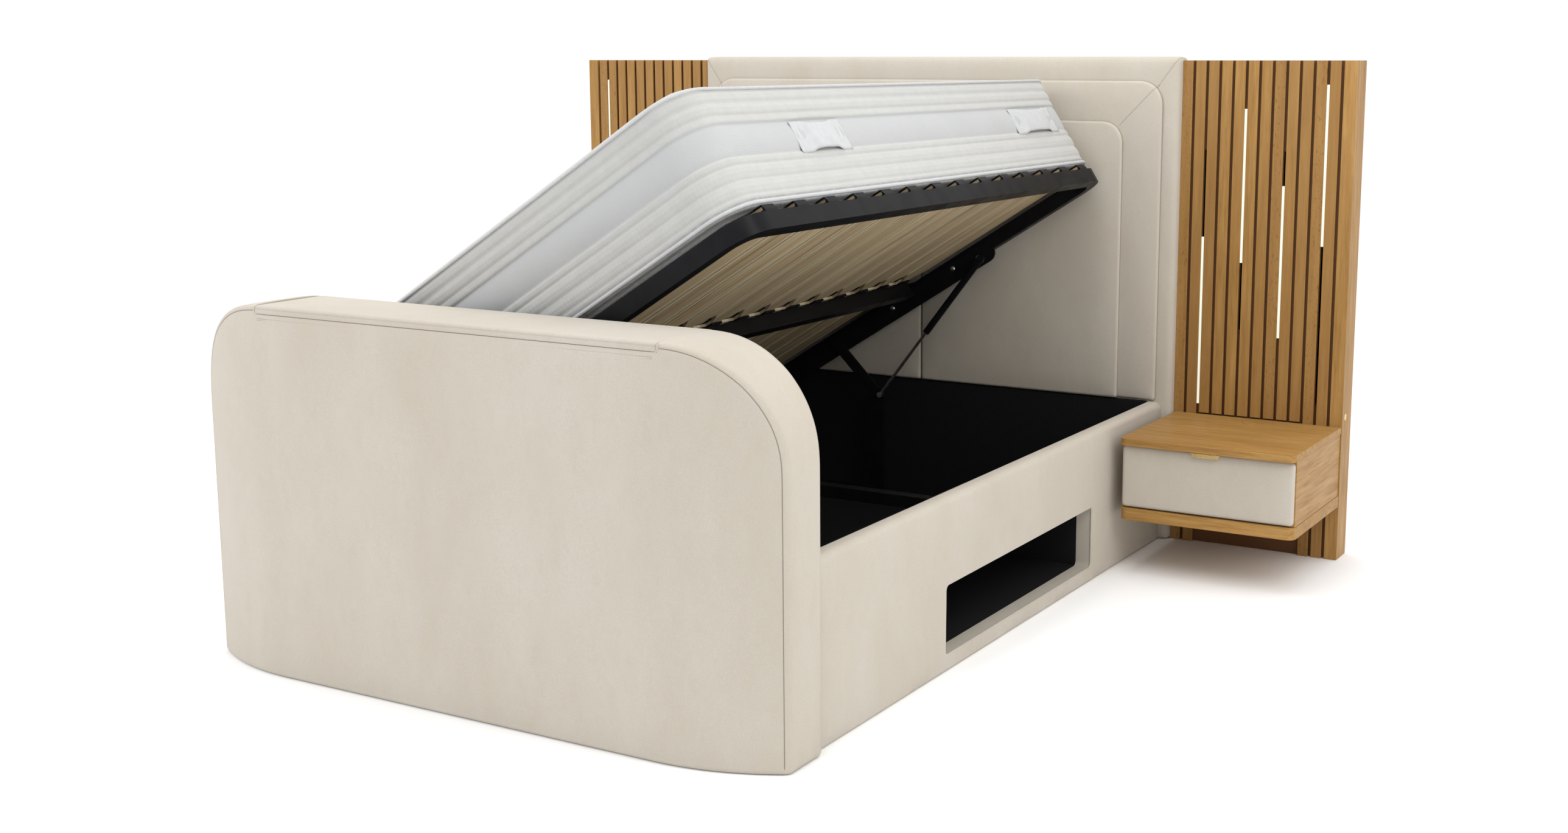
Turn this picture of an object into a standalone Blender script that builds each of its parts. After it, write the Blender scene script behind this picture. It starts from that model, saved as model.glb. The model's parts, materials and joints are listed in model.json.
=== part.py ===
"""Side-lift ottoman bed with a television footboard, slatted wings and floating nightstands.

Metres, +Z up, +X across the bed to the viewer's right, +Y from the footboard to the headboard.
The origin is at the middle of the footprint, on the floor. The bed is modelled with the mattress
platform raised, tilted about its left edge, and everything else shut.
"""

import math

import bmesh
import bpy
from mathutils import Matrix

# Clearances
GAP = 0.0003
OVERRUN = 0.010
WELD_DEPTH = 0.001

# Overall
OVERALL_WIDTH = 2.800
FOOTBOARD_DEPTH = 0.218
WELL_LENGTH = 2.062
HEAD_DEPTH = 0.156

# Footboard
FOOTBOARD_WIDTH = 1.714
FOOTBOARD_HEIGHT = 0.922
FOOTBOARD_CORNER = 0.260
FOOTBOARD_FLAT_HALF = 0.557
FOOTBOARD_SETBACK = 0.085
FOOTBOARD_FRONT_WALL = 0.035
FOOTBOARD_SIDE_WALL = 0.045
FOOTBOARD_FLOOR = 0.020
FOOTBOARD_ROOF = 0.020
BACK_PANEL_THICKNESS = 0.018
UPHOLSTERY_ROUND = 0.008
ROUNDING_MID_SHARE = 0.3
LID_THICKNESS = 0.0217
LID_END_LAP = 0.032
LID_LEDGE = 0.029
LID_ROUND = 0.005
HINGE_RADIUS = 0.004
HINGE_LEAF = 0.002
HINGE_LEAF_HEIGHT = 0.030

# Television lift
COLUMN_WIDTH = 0.060
COLUMN_DEPTH = 0.050
COLUMN_WALL = 0.003
COLUMN_SETBACK = 0.010
COLUMN_HEIGHT = 0.474
FLANGE_WIDTH = 0.140
FLANGE_THICKNESS = 0.006
TELESCOPE_CLEARANCE = 0.0006
STAGE_REVEAL = 0.015
HEAD_ARM_THICKNESS = 0.014
HEAD_ARM_REACH = 0.0097
TV_PLATE_MARGIN = 0.010
TV_PLATE_THICKNESS = 0.004
TV_HOLE_PITCH = 0.200
TV_HOLE_RADIUS = 0.0035

# Side rails, storage base and media niche
WELL_WIDTH = 1.580
RAIL_THICKNESS = 0.048
RAIL_HEIGHT = 0.441
RAIL_OUTER_ROUND = 0.022
RAIL_INNER_ROUND = 0.012
FLOOR_THICKNESS = 0.0237
LINING_THICKNESS = 0.018
NICHE_START = 0.617
NICHE_LENGTH = 0.929
NICHE_HEIGHT = 0.1815
NICHE_DEPTH = 0.357
NICHE_WALL = 0.018
NICHE_CORNER = 0.015
BEAM_START = 1.197
BEAM_WIDTH = 0.040
BEAM_HEIGHT = 0.035
CLEAT_WIDTH = 0.0497
CLEAT_HEIGHT = 0.0247
CLEAT_INSET = 0.080

# Headboard
HEADBOARD_WIDTH = 1.738
HEADBOARD_HEIGHT = 1.506
BORDER_DEPTH = 0.075
PAD_STEP = 0.015
PAD_BOTTOM = 0.445
MID_PANEL_WIDTH = 1.640
MID_PANEL_TOP = 1.434
INNER_PANEL_WIDTH = 1.396
INNER_PANEL_TOP = 1.310
PANEL_CORNER = 0.050
PAD_ROUND = 0.005
SEAM_HALF_GAP = 0.001

# Wings
WING_HEIGHT = 1.495
WING_SETBACK = 0.057
WING_PANEL_DEPTH = 0.030
SIDE_BOARD_THICKNESS = 0.0384
SLAT_COUNT = 12
GROOVE_WIDTH = 0.009
GROOVE_DEPTH = 0.012
RECESS_HEIGHT = 0.415
RECESS_EXTRA_DEPTH = 0.001
EDGE_SLATS = 2
LED_WIDTH = 0.0084
LED_DEPTH = 0.006
LED_SINK = 0.004
LED_STUB = 0.006
LED_FEED_THICKNESS = 0.004
LED_FEED_HEIGHT = 0.012
LED_GROOVES = (2, 5, 8, 11)
LED_FEED_SHARE = 0.639
LED_END_SHARES = ((0.296, 0.643), (0.594, 0.904), (0.445, 0.752), (0.635, 0.953))

# Nightstands
STAND_INSET = 0.0062
STAND_OUTER_INSET = 0.0015
STAND_DEPTH = 0.4747
STAND_TOP_HEIGHT = 0.411
STAND_TOP_THICKNESS = 0.020
STAND_BASE_BOTTOM = 0.166
STAND_BASE_THICKNESS = 0.035
STAND_CORNER = 0.025
STAND_BASE_SETBACK = 0.016
STAND_SIDE_THICKNESS = 0.016
STAND_SIDE_INSET = 0.002
STAND_SIDE_SETBACK = 0.033
STAND_BACK_THICKNESS = 0.012
DRAWER_FRONT_SETBACK = 0.020
DRAWER_FRONT_THICKNESS = 0.025
DRAWER_FRONT_SIDE_CLEARANCE = 0.003
DRAWER_FRONT_BOTTOM_CLEARANCE = 0.004
DRAWER_FRONT_ROUND = 0.006
DRAWER_BOX_SIDE_CLEARANCE = 0.013
DRAWER_BOX_LENGTH = 0.390
DRAWER_BOX_HEIGHT = 0.125
DRAWER_BOX_WALL = 0.012
RUNNER_HEIGHT = 0.0134
RUNNER_WIDTH = 0.014
RUNNER_INSET = 0.040
PULL_WIDTH = 0.088
PULL_TAPER = 0.008
PULL_LIP_HEIGHT = 0.012
PULL_SHEET = 0.0016
PULL_REACH = 0.014
PULL_GRIP = 0.013

# Platform
PLATFORM_WIDTH = 1.506
PLATFORM_LENGTH = 2.012
PLATFORM_HEAD_CLEARANCE = 0.018
PLATFORM_TOP_CLOSED = 0.430
TUBE_WIDTH = 0.040
TUBE_HEIGHT = 0.045
TUBE_WALL = 0.002
TUBE_BEND = 0.070
TUBE_STUB = 0.010
BEND_STEPS = 6
CAP_LENGTH = 0.050
CAP_DEPTH = 0.030
CAP_HEIGHT = 0.018
CAP_SHELF = 0.0057
CAP_TOP = 0.0037
CAP_WEB = 0.006
CENTRE_CAP_DEPTH = 0.062
CENTRE_WEB = 0.012
TONGUE_THICKNESS = 0.006
RAIL_END_CLEARANCE = 0.061
BED_SLAT_PITCH = 0.135
BED_SLAT_WIDTH = 0.118
BED_SLAT_END_WIDTH = 0.044
BED_SLAT_TAPER = 0.050
BED_SLAT_THICKNESS = 0.008
SLAT_STRIP = 0.005

# Mattress
MATTRESS_WIDTH = 1.500
MATTRESS_LENGTH = 2.000
MATTRESS_THICKNESS = 0.315
MATTRESS_CORNER = 0.070
MATTRESS_SEAM_DEPTH = 0.012
MATTRESS_CROWN = 0.014
MATTRESS_CORNER_STEPS = 5
MATTRESS_SIDE_STEPS = 6
# The border from its lower edge to its middle, as shares of its height and of the seams' depth.
HALF_BORDER_HEIGHT_SHARES = (0, 0.015, 0.045, 0.062, 0.18, 0.30, 0.345, 0.40)
HALF_BORDER_INSET_SHARES = (0.5, 0, 0, 0.7, 0.2, 0.2, 0.9, 0.4)
BORDER_MIDDLE_INSET_SHARE = 0.3
CROWN_INSET_SHARES = (0.07, 0.2, 0.42, 0.7)

# Lift mechanism, one set at the head end and its mirror image at the foot end.
# Places on the platform run along its width from its left edge, and down from the top of its frame.
# The raised left edge is to the right of the shut one, and below it.
OPEN_TILT = math.radians(32.0)
OPEN_EDGE_SHIFT = 0.112
OPEN_EDGE_DROP = 0.057
MAIN_BASE_ALONG = 0.633
MAIN_BASE_DROP = 0.035
MAIN_PIVOT_ALONG = 0.400
SECOND_BASE_ALONG = 0.308
SECOND_BASE_DROP = 0.125
SECOND_PIVOT_ALONG = 0.200
STRUT_BASE_ALONG = 0.653
STRUT_BASE_DROP = 0.030
STRUT_PIVOT_ALONG = 1.033
STRUT_PIVOT_DROP = 0.058
ARM_START = 0.150
ARM_END_PAST_STRUT = 0.012
ARM_TOP_DROP = 0.012
ARM_HEIGHT = 0.063
PLATE_THICKNESS = 0.006
LINK_STANDOFF = 0.0045
LINK_RADIUS = 0.018
SECOND_LINK_RADIUS = 0.016
PIN_RADIUS = 0.006
PIN_CLEARANCE = 0.0006
PLATE_CLEARANCE = 0.0012
BRACKET_EAR_RADIUS = 0.027
BRACKET_SECOND_EAR_RADIUS = 0.022
BRACKET_STRIP_HEIGHT = 0.060
BRACKET_FOOT_LENGTH = 0.050
BRACKET_FOOT_THICKNESS = 0.005
STRUT_CLEARANCE = 0.003
CYLINDER_RADIUS = 0.011
CYLINDER_LENGTH = 0.317
CYLINDER_BORE_RADIUS = 0.0057
CYLINDER_END_WALL = 0.018
EYE_RADIUS = 0.012
EYE_THICKNESS = 0.014
STUD_RADIUS = 0.005
ROD_RADIUS = 0.005
ROD_LENGTH = 0.345
BALL_RADIUS = 0.009
BALL_THICKNESS = 0.014
BALL_PIN_RADIUS = 0.004
ROUND_SEGMENTS = 16

# Finishes: colour, roughness, metallic
PLUSH = ((0.70, 0.64, 0.54), 0.95, 0)
OAK = ((0.50, 0.29, 0.12), 0.55, 0)
FELT = ((0.012, 0.012, 0.013), 0.95, 0)
BLACK_STEEL = ((0.018, 0.018, 0.020), 0.42, 0.4)
BARE_STEEL = ((0.45, 0.45, 0.46), 0.35, 1)
BRASS = ((0.75, 0.55, 0.25), 0.3, 1)
BIRCH = ((0.62, 0.50, 0.32), 0.5, 0)
LED_LENS = ((0.95, 0.93, 0.82), 0.4, 0)
TICKING = ((0.86, 0.85, 0.80), 0.9, 0)

# Planes and places that follow from the sizes
OVERALL_DEPTH = FOOTBOARD_DEPTH + WELL_LENGTH + HEAD_DEPTH
FRONT = -OVERALL_DEPTH / 2
BACK = OVERALL_DEPTH / 2
WELL_START = FRONT + FOOTBOARD_DEPTH
WELL_END = WELL_START + WELL_LENGTH
BORDER_FRONT = WELL_END + 2 * PAD_STEP
WELL_HALF = WELL_WIDTH / 2
LEDGE_HEIGHT = FOOTBOARD_HEIGHT - LID_THICKNESS - GAP
LID_HALF = FOOTBOARD_FLAT_HALF + LID_END_LAP
CAVITY_TOP = LEDGE_HEIGHT - FOOTBOARD_ROOF
CAVITY_HALF = FOOTBOARD_WIDTH / 2 - FOOTBOARD_SIDE_WALL
FLOOR_TOP = FLOOR_THICKNESS + GAP
WING_INNER = HEADBOARD_WIDTH / 2 + GAP
WING_OUTER = OVERALL_WIDTH / 2
WING_FRONT = WELL_END + WING_SETBACK
SLAT_PITCH = (WING_OUTER - SIDE_BOARD_THICKNESS - GAP - WING_INNER) / SLAT_COUNT
STAND_REAR = WING_FRONT - GAP
STAND_FRONT = STAND_REAR - STAND_DEPTH
STAND_INNER = WING_INNER + STAND_INSET
STAND_OUTER = WING_OUTER - STAND_OUTER_INSET
STAND_MIDDLE = (STAND_INNER + STAND_OUTER) / 2
STAND_TOP_BOTTOM = STAND_TOP_HEIGHT - STAND_TOP_THICKNESS
STAND_BASE_TOP = STAND_BASE_BOTTOM + STAND_BASE_THICKNESS
STAND_BAY_INNER = STAND_INNER + STAND_SIDE_INSET + STAND_SIDE_THICKNESS
STAND_BAY_OUTER = STAND_OUTER - STAND_SIDE_INSET - STAND_SIDE_THICKNESS
DRAWER_FRONT_FACE = STAND_FRONT + DRAWER_FRONT_SETBACK
DRAWER_FRONT_REAR = DRAWER_FRONT_FACE + DRAWER_FRONT_THICKNESS
DRAWER_FRONT_BOTTOM = STAND_BASE_TOP + DRAWER_FRONT_BOTTOM_CLEARANCE
DRAWER_FRONT_TOP = STAND_TOP_BOTTOM - DRAWER_FRONT_BOTTOM_CLEARANCE
DRAWER_BOX_BOTTOM = STAND_BASE_TOP + RUNNER_HEIGHT + 2 * GAP
PLATFORM_MIDDLE = WELL_END - PLATFORM_HEAD_CLEARANCE - PLATFORM_LENGTH / 2
TV_PLATE_SIZE = TV_HOLE_PITCH + 2 * TV_PLATE_MARGIN
SLAT_BOTTOM = CAP_SHELF + GAP
CAP_POCKET_TOP = CAP_HEIGHT - CAP_TOP
END_TUBE_INNER = PLATFORM_LENGTH / 2 - TUBE_WIDTH
BED_SLAT_COUNT = math.floor(2 * END_TUBE_INNER / BED_SLAT_PITCH)
ARM_OUTER_FACE = END_TUBE_INNER - GAP
ARM_INNER_FACE = ARM_OUTER_FACE - PLATE_THICKNESS
LINK_OUTER_FACE = ARM_INNER_FACE - LINK_STANDOFF
LINK_INNER_FACE = LINK_OUTER_FACE - PLATE_THICKNESS
EAR_OUTER_FACE = LINK_INNER_FACE - PLATE_CLEARANCE
EAR_INNER_FACE = EAR_OUTER_FACE - PLATE_THICKNESS
STRUT_LAYER = EAR_INNER_FACE - STRUT_CLEARANCE - EYE_RADIUS
HEAD_END = 1
FOOT_END = -1
LEFT = -1
RIGHT = 1


def turned(point, angle):
    """The point (across, up) turned by an angle that lifts the right side."""
    across, up = point
    cos, sin = math.cos(angle), math.sin(angle)
    return (across * cos - up * sin, across * sin + up * cos)


def added(a, b):
    return (a[0] + b[0], a[1] + b[1])


def taken(a, b):
    return (a[0] - b[0], a[1] - b[1])


SHUT_EDGE = (-PLATFORM_WIDTH / 2, PLATFORM_TOP_CLOSED)
OPEN_EDGE = added(SHUT_EDGE, (OPEN_EDGE_SHIFT, -OPEN_EDGE_DROP))
MAIN_BASE = added(SHUT_EDGE, (MAIN_BASE_ALONG, -MAIN_BASE_DROP))
SECOND_BASE = added(SHUT_EDGE, (SECOND_BASE_ALONG, -SECOND_BASE_DROP))
STRUT_BASE = added(SHUT_EDGE, (STRUT_BASE_ALONG, -STRUT_BASE_DROP))
STRUT_PIVOT = (STRUT_PIVOT_ALONG, -STRUT_PIVOT_DROP)


def in_platform(point, edge, tilt):
    """A place in the room as the platform sees it, with its left edge and tilt given."""
    return turned(taken(point, edge), -tilt)


def in_room(point, edge, tilt):
    return added(edge, turned(point, tilt))


def pivot_on_platform(base_pivot, along):
    """The place on the platform, this far along it, that is as far from the base pivot raised as shut."""
    shut = in_platform(base_pivot, SHUT_EDGE, 0)
    raised = in_platform(base_pivot, OPEN_EDGE, OPEN_TILT)
    middle = ((shut[0] + raised[0]) / 2, (shut[1] + raised[1]) / 2)
    apart = taken(raised, shut)
    return (along, middle[1] - (along - middle[0]) * apart[0] / apart[1])


def length_and_angle(start, end):
    across, up = taken(end, start)
    return math.hypot(across, up), math.atan2(up, across)


MAIN_PIVOT = pivot_on_platform(MAIN_BASE, MAIN_PIVOT_ALONG)
SECOND_PIVOT = pivot_on_platform(SECOND_BASE, SECOND_PIVOT_ALONG)
MAIN_LINK_LENGTH, MAIN_LINK_ANGLE = length_and_angle(MAIN_BASE, in_room(MAIN_PIVOT, OPEN_EDGE, OPEN_TILT))
SECOND_LINK_LENGTH, SECOND_LINK_ANGLE = length_and_angle(
    SECOND_BASE, in_room(SECOND_PIVOT, OPEN_EDGE, OPEN_TILT)
)
STRUT_OPEN_LENGTH, STRUT_ANGLE = length_and_angle(
    STRUT_PIVOT, in_platform(STRUT_BASE, OPEN_EDGE, OPEN_TILT)
)


# Materials and objects


def make_material(name, finish):
    colour, roughness, metallic = finish
    material = bpy.data.materials.new(name)
    material.use_nodes = True
    shader = material.node_tree.nodes["Principled BSDF"]
    shader.inputs["Base Color"].default_value = (*colour, 1)
    shader.inputs["Roughness"].default_value = roughness
    shader.inputs["Metallic"].default_value = metallic
    material.diffuse_color = (*colour, 1)
    return material


def link_object(name, data, parent):
    obj = bpy.data.objects.new(name, data)
    bpy.context.collection.objects.link(obj)
    obj.parent = parent
    return obj


def empty(name, place, parent=None, lift_angle=0):
    """A pivot. Its own X axis is raised above the parent's by lift_angle."""
    obj = link_object(name, None, parent)
    obj.location = place
    obj.rotation_euler.y = -lift_angle
    return obj


def mesh_object(name, bm, finish, parent=None, smooth=False):
    bmesh.ops.recalc_face_normals(bm, faces=bm.faces)
    mesh = bpy.data.meshes.new(name)
    bm.to_mesh(mesh)
    bm.free()
    if smooth:
        mesh.shade_smooth()
        mesh.set_sharp_from_angle(angle=math.radians(40))
    obj = link_object(name, mesh, parent)
    mesh.materials.append(make_material(name, finish))
    return obj


def helper_object(name, bm, parent):
    obj = mesh_object(name, bm, FELT, parent)
    obj.hide_render = True
    obj.display_type = "WIRE"
    return obj


def combine(obj, bm, operation):
    """Cut from the object, or join to it, the closed shapes in bm, given in the object's own frame."""
    name = f"{obj.name}_{operation.lower()}_{len(obj.modifiers)}"
    modifier = obj.modifiers.new(name, "BOOLEAN")
    modifier.operation = operation
    modifier.object = helper_object(name, bm, obj)


def cut(obj, bm):
    combine(obj, bm, "DIFFERENCE")


def join(obj, bm):
    combine(obj, bm, "UNION")


def round_edges(obj, width, sharper_than=30):
    modifier = obj.modifiers.new("rounded_edges", "BEVEL")
    modifier.width = width
    modifier.segments = 2
    modifier.limit_method = "ANGLE"
    modifier.angle_limit = math.radians(sharper_than)


# Shapes


def along_x(u, v, w):
    return (w, u, v)


def along_y(u, v, w):
    return (u, w, v)


def along_z(u, v, w):
    return (u, v, w)


def wrap(bm, loop, other):
    """A band of faces between two closed loops of as many points."""
    for i, corner in enumerate(loop):
        bm.faces.new((loop[i - 1], corner, other[i], other[i - 1]))


def add_block(bm, low, high):
    size = [b - a for a, b in zip(low, high)]
    middle = [(a + b) / 2 for a, b in zip(low, high)]
    matrix = Matrix.Translation(middle) @ Matrix.Diagonal((*size, 1))
    bmesh.ops.create_cube(bm, size=1, matrix=matrix)


def add_prism(bm, outline, start, end, placed):
    """The outline, in the two directions that placed takes first, pulled out from start to end."""
    near = [bm.verts.new(placed(u, v, start)) for u, v in outline]
    far = [bm.verts.new(placed(u, v, end)) for u, v in outline]
    bm.faces.new(near)
    bm.faces.new(far)
    wrap(bm, near, far)


def add_turned(bm, centre, profile, placed, segments=ROUND_SEGMENTS):
    """A round solid about an axis through centre. The profile lists (place along the axis, radius)."""
    rings = [
        [bm.verts.new(placed(u, v, w)) for u, v in arc(centre, radius, 0, math.tau, segments)[:-1]]
        for w, radius in profile
    ]
    for ring, other in zip(rings, rings[1:]):
        wrap(bm, ring, other)
    bm.faces.new(rings[0])
    bm.faces.new(rings[-1])


def add_hollow(bm, stations):
    """A tube with open ends, through stations that each give its outer and inner loop of points."""
    rings = [[[bm.verts.new(point) for point in loop] for loop in station] for station in stations]
    for (outer, inner), (next_outer, next_inner) in zip(rings, rings[1:]):
        wrap(bm, outer, next_outer)
        wrap(bm, inner, next_inner)
    for outer, inner in (rings[0], rings[-1]):
        wrap(bm, outer, inner)


def arc(centre, radius, start, end, steps):
    angles = [start + (end - start) * i / steps for i in range(steps + 1)]
    return [(centre[0] + radius * math.cos(a), centre[1] + radius * math.sin(a)) for a in angles]


def rectangle(low, high):
    return [low, (high[0], low[1]), high, (low[0], high[1])]


def arched(half_width, bottom, top, corner, steps=10):
    """A rectangle with its two upper corners rounded, as (across, up)."""
    centre = half_width - corner
    right = arc((centre, top - corner), corner, 0, math.pi / 2, steps)
    left = arc((-centre, top - corner), corner, math.pi / 2, math.pi, steps)
    return [(-half_width, bottom), (half_width, bottom), *right, *left]


def stadium(length, radius, steps=8):
    """A bar with round ends about the origin and the point this far along X."""
    right = arc((length, 0), radius, -math.pi / 2, math.pi / 2, steps)
    left = arc((0, 0), radius, math.pi / 2, 3 * math.pi / 2, steps)
    return right + left


def rounded_rectangle(half_width, half_length, corner, corner_steps, side_steps):
    """Points round a rectangle, with its straight sides divided too."""
    inner_x, inner_y = half_width - corner, half_length - corner
    points = []
    for turn, (sx, sy) in enumerate(((1, 1), (-1, 1), (-1, -1), (1, -1))):
        start = turn * math.pi / 2
        points += arc((sx * inner_x, sy * inner_y), corner, start, start + math.pi / 2, corner_steps)
        ahead = arc_start(turn + 1, inner_x, inner_y, corner)
        last = points[-1]
        for i in range(1, side_steps):
            share = i / side_steps
            points.append(tuple(a + (b - a) * share for a, b in zip(last, ahead)))
    return points


def arc_start(turn, inner_x, inner_y, corner):
    """Where the corner arc with this number starts, the first being at the upper right."""
    return (
        (inner_x + corner, inner_y),
        (-inner_x, inner_y + corner),
        (-inner_x - corner, -inner_y),
        (inner_x, -inner_y - corner),
    )[turn % 4]


# Footboard


def setback(across):
    """How far the front of the footboard has curved back at this distance from its middle."""
    run = FOOTBOARD_WIDTH / 2 - FOOTBOARD_FLAT_HALF
    radius = (run**2 + FOOTBOARD_SETBACK**2) / (2 * FOOTBOARD_SETBACK)
    past = max(0, abs(across) - FOOTBOARD_FLAT_HALF)
    return radius - math.sqrt(radius**2 - past**2)


def bowed_rows(half_width, bottom, top, corner, inset, steps=10):
    """The lower and the upper edge of an arched outline drawn in by inset, point above point."""
    shoulder = half_width - corner
    radius = corner - inset
    angles = [i * math.pi / 2 / steps for i in range(steps + 1)]
    upper = [(shoulder + radius * math.sin(a), top - corner + radius * math.cos(a)) for a in angles]
    if FOOTBOARD_FLAT_HALF < shoulder - OVERRUN:
        upper.insert(0, (FOOTBOARD_FLAT_HALF, top - inset))
    upper = [(-x, z) for x, z in reversed(upper)] + upper
    return [(x, bottom + inset) for x, _ in upper], upper


def add_bowed_slab(bm, half_width, bottom, top, corner, front, back, rounding=0):
    """An arched slab whose front face follows the footboard's curve in plan."""
    chamfer = rounding * ROUNDING_MID_SHARE
    levels = [(rounding, 0), (chamfer, chamfer), (0, rounding)] if rounding else [(0, 0)]
    rings = [(inset, depth, front) for inset, depth in levels]
    rings += [(inset, -depth, back) for inset, depth in reversed(levels)]
    loops = []
    for inset, depth, face in rings:
        lower, upper = bowed_rows(half_width, bottom, top, corner, inset)
        loops.append([])
        for x, z in lower + upper[::-1]:
            curve = setback(x) if face == front else 0
            loops[-1].append(bm.verts.new((x, face + curve + depth, z)))
    for loop, other in zip(loops, loops[1:]):
        wrap(bm, loop, other)
    for loop in (loops[0], loops[-1]):
        for i in range(len(loop) // 2 - 1):
            bm.faces.new((loop[i], loop[i + 1], loop[-i - 2], loop[-i - 1]))


def footboard_shell():
    bm = bmesh.new()
    half = FOOTBOARD_WIDTH / 2
    add_bowed_slab(bm, half, 0, FOOTBOARD_HEIGHT, FOOTBOARD_CORNER, FRONT, WELL_START, UPHOLSTERY_ROUND)
    shell = mesh_object("footboard_shell", bm, PLUSH)
    cavity = bmesh.new()
    corner = FOOTBOARD_CORNER - FOOTBOARD_SIDE_WALL
    front = FRONT + FOOTBOARD_FRONT_WALL
    back = WELL_START + OVERRUN
    add_bowed_slab(cavity, CAVITY_HALF, FOOTBOARD_FLOOR, CAVITY_TOP, corner, front, back)
    cut(shell, cavity)
    notch = bmesh.new()
    low = (-LID_HALF - GAP, FRONT - OVERRUN, LEDGE_HEIGHT)
    high = (LID_HALF + GAP, WELL_START + OVERRUN, FOOTBOARD_HEIGHT + OVERRUN)
    add_block(notch, low, high)
    cut(shell, notch)
    mouth = bmesh.new()
    half = LID_HALF - LID_LEDGE
    low = (-half, front, CAVITY_TOP - OVERRUN)
    high = (half, WELL_START - BACK_PANEL_THICKNESS, LEDGE_HEIGHT + OVERRUN)
    add_block(mouth, low, high)
    cut(shell, mouth)


def footboard_back_panel():
    bm = bmesh.new()
    corner = FOOTBOARD_CORNER - FOOTBOARD_SIDE_WALL - GAP
    outline = arched(CAVITY_HALF - GAP, FOOTBOARD_FLOOR + GAP, CAVITY_TOP - GAP, corner)
    add_prism(bm, outline, WELL_START - BACK_PANEL_THICKNESS, WELL_START, along_y)
    mesh_object("footboard_back_panel", bm, FELT)


def tv_lid(axis):
    """The padded lid, shut, with its pivot at the back edge."""
    bm = bmesh.new()
    bottom = LEDGE_HEIGHT + GAP
    columns = []
    for across in (-LID_HALF, -FOOTBOARD_FLAT_HALF, FOOTBOARD_FLAT_HALF, LID_HALF):
        nose = FRONT + setback(across)
        loop = rectangle((nose, bottom), (WELL_START, bottom + LID_THICKNESS))
        columns.append([bm.verts.new((across, y, z)) for y, z in loop])
    for column, other in zip(columns, columns[1:]):
        wrap(bm, column, other)
    bm.faces.new(columns[0])
    bm.faces.new(columns[-1])
    bmesh.ops.translate(bm, vec=-axis.location, verts=bm.verts)
    lid = mesh_object("tv_lid", bm, PLUSH, axis)
    round_edges(lid, LID_ROUND)


def lid_axis():
    return (0, WELL_START + GAP + HINGE_RADIUS, LEDGE_HEIGHT + GAP)


def lid_hinge():
    """The fixed leaf of the piano hinge and its knuckle, along the back of the footboard."""
    _, y, z = lid_axis()
    leaf_front = y - HINGE_RADIUS
    leaf_back = leaf_front + HINGE_LEAF
    join_angle = math.acos((leaf_back - y) / HINGE_RADIUS)
    knuckle = arc((y, z), HINGE_RADIUS, -join_angle, math.pi, 12)
    outline = [(leaf_front, z - HINGE_LEAF_HEIGHT), (leaf_back, z - HINGE_LEAF_HEIGHT), *knuckle]
    bm = bmesh.new()
    add_prism(bm, outline, -LID_HALF, LID_HALF, along_x)
    mesh_object("lid_hinge", bm, BLACK_STEEL, smooth=True)


# Television lift


def column_stations(half_x, half_y, wall, bottom, top, middle_y):
    loops = []
    for inset in (0, wall):
        x, y = half_x - inset, half_y - inset
        loops.append(rectangle((-x, middle_y - y), (x, middle_y + y)))
    return [[[(x, y, z) for x, y in loop] for loop in loops] for z in (bottom, top)]


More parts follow.
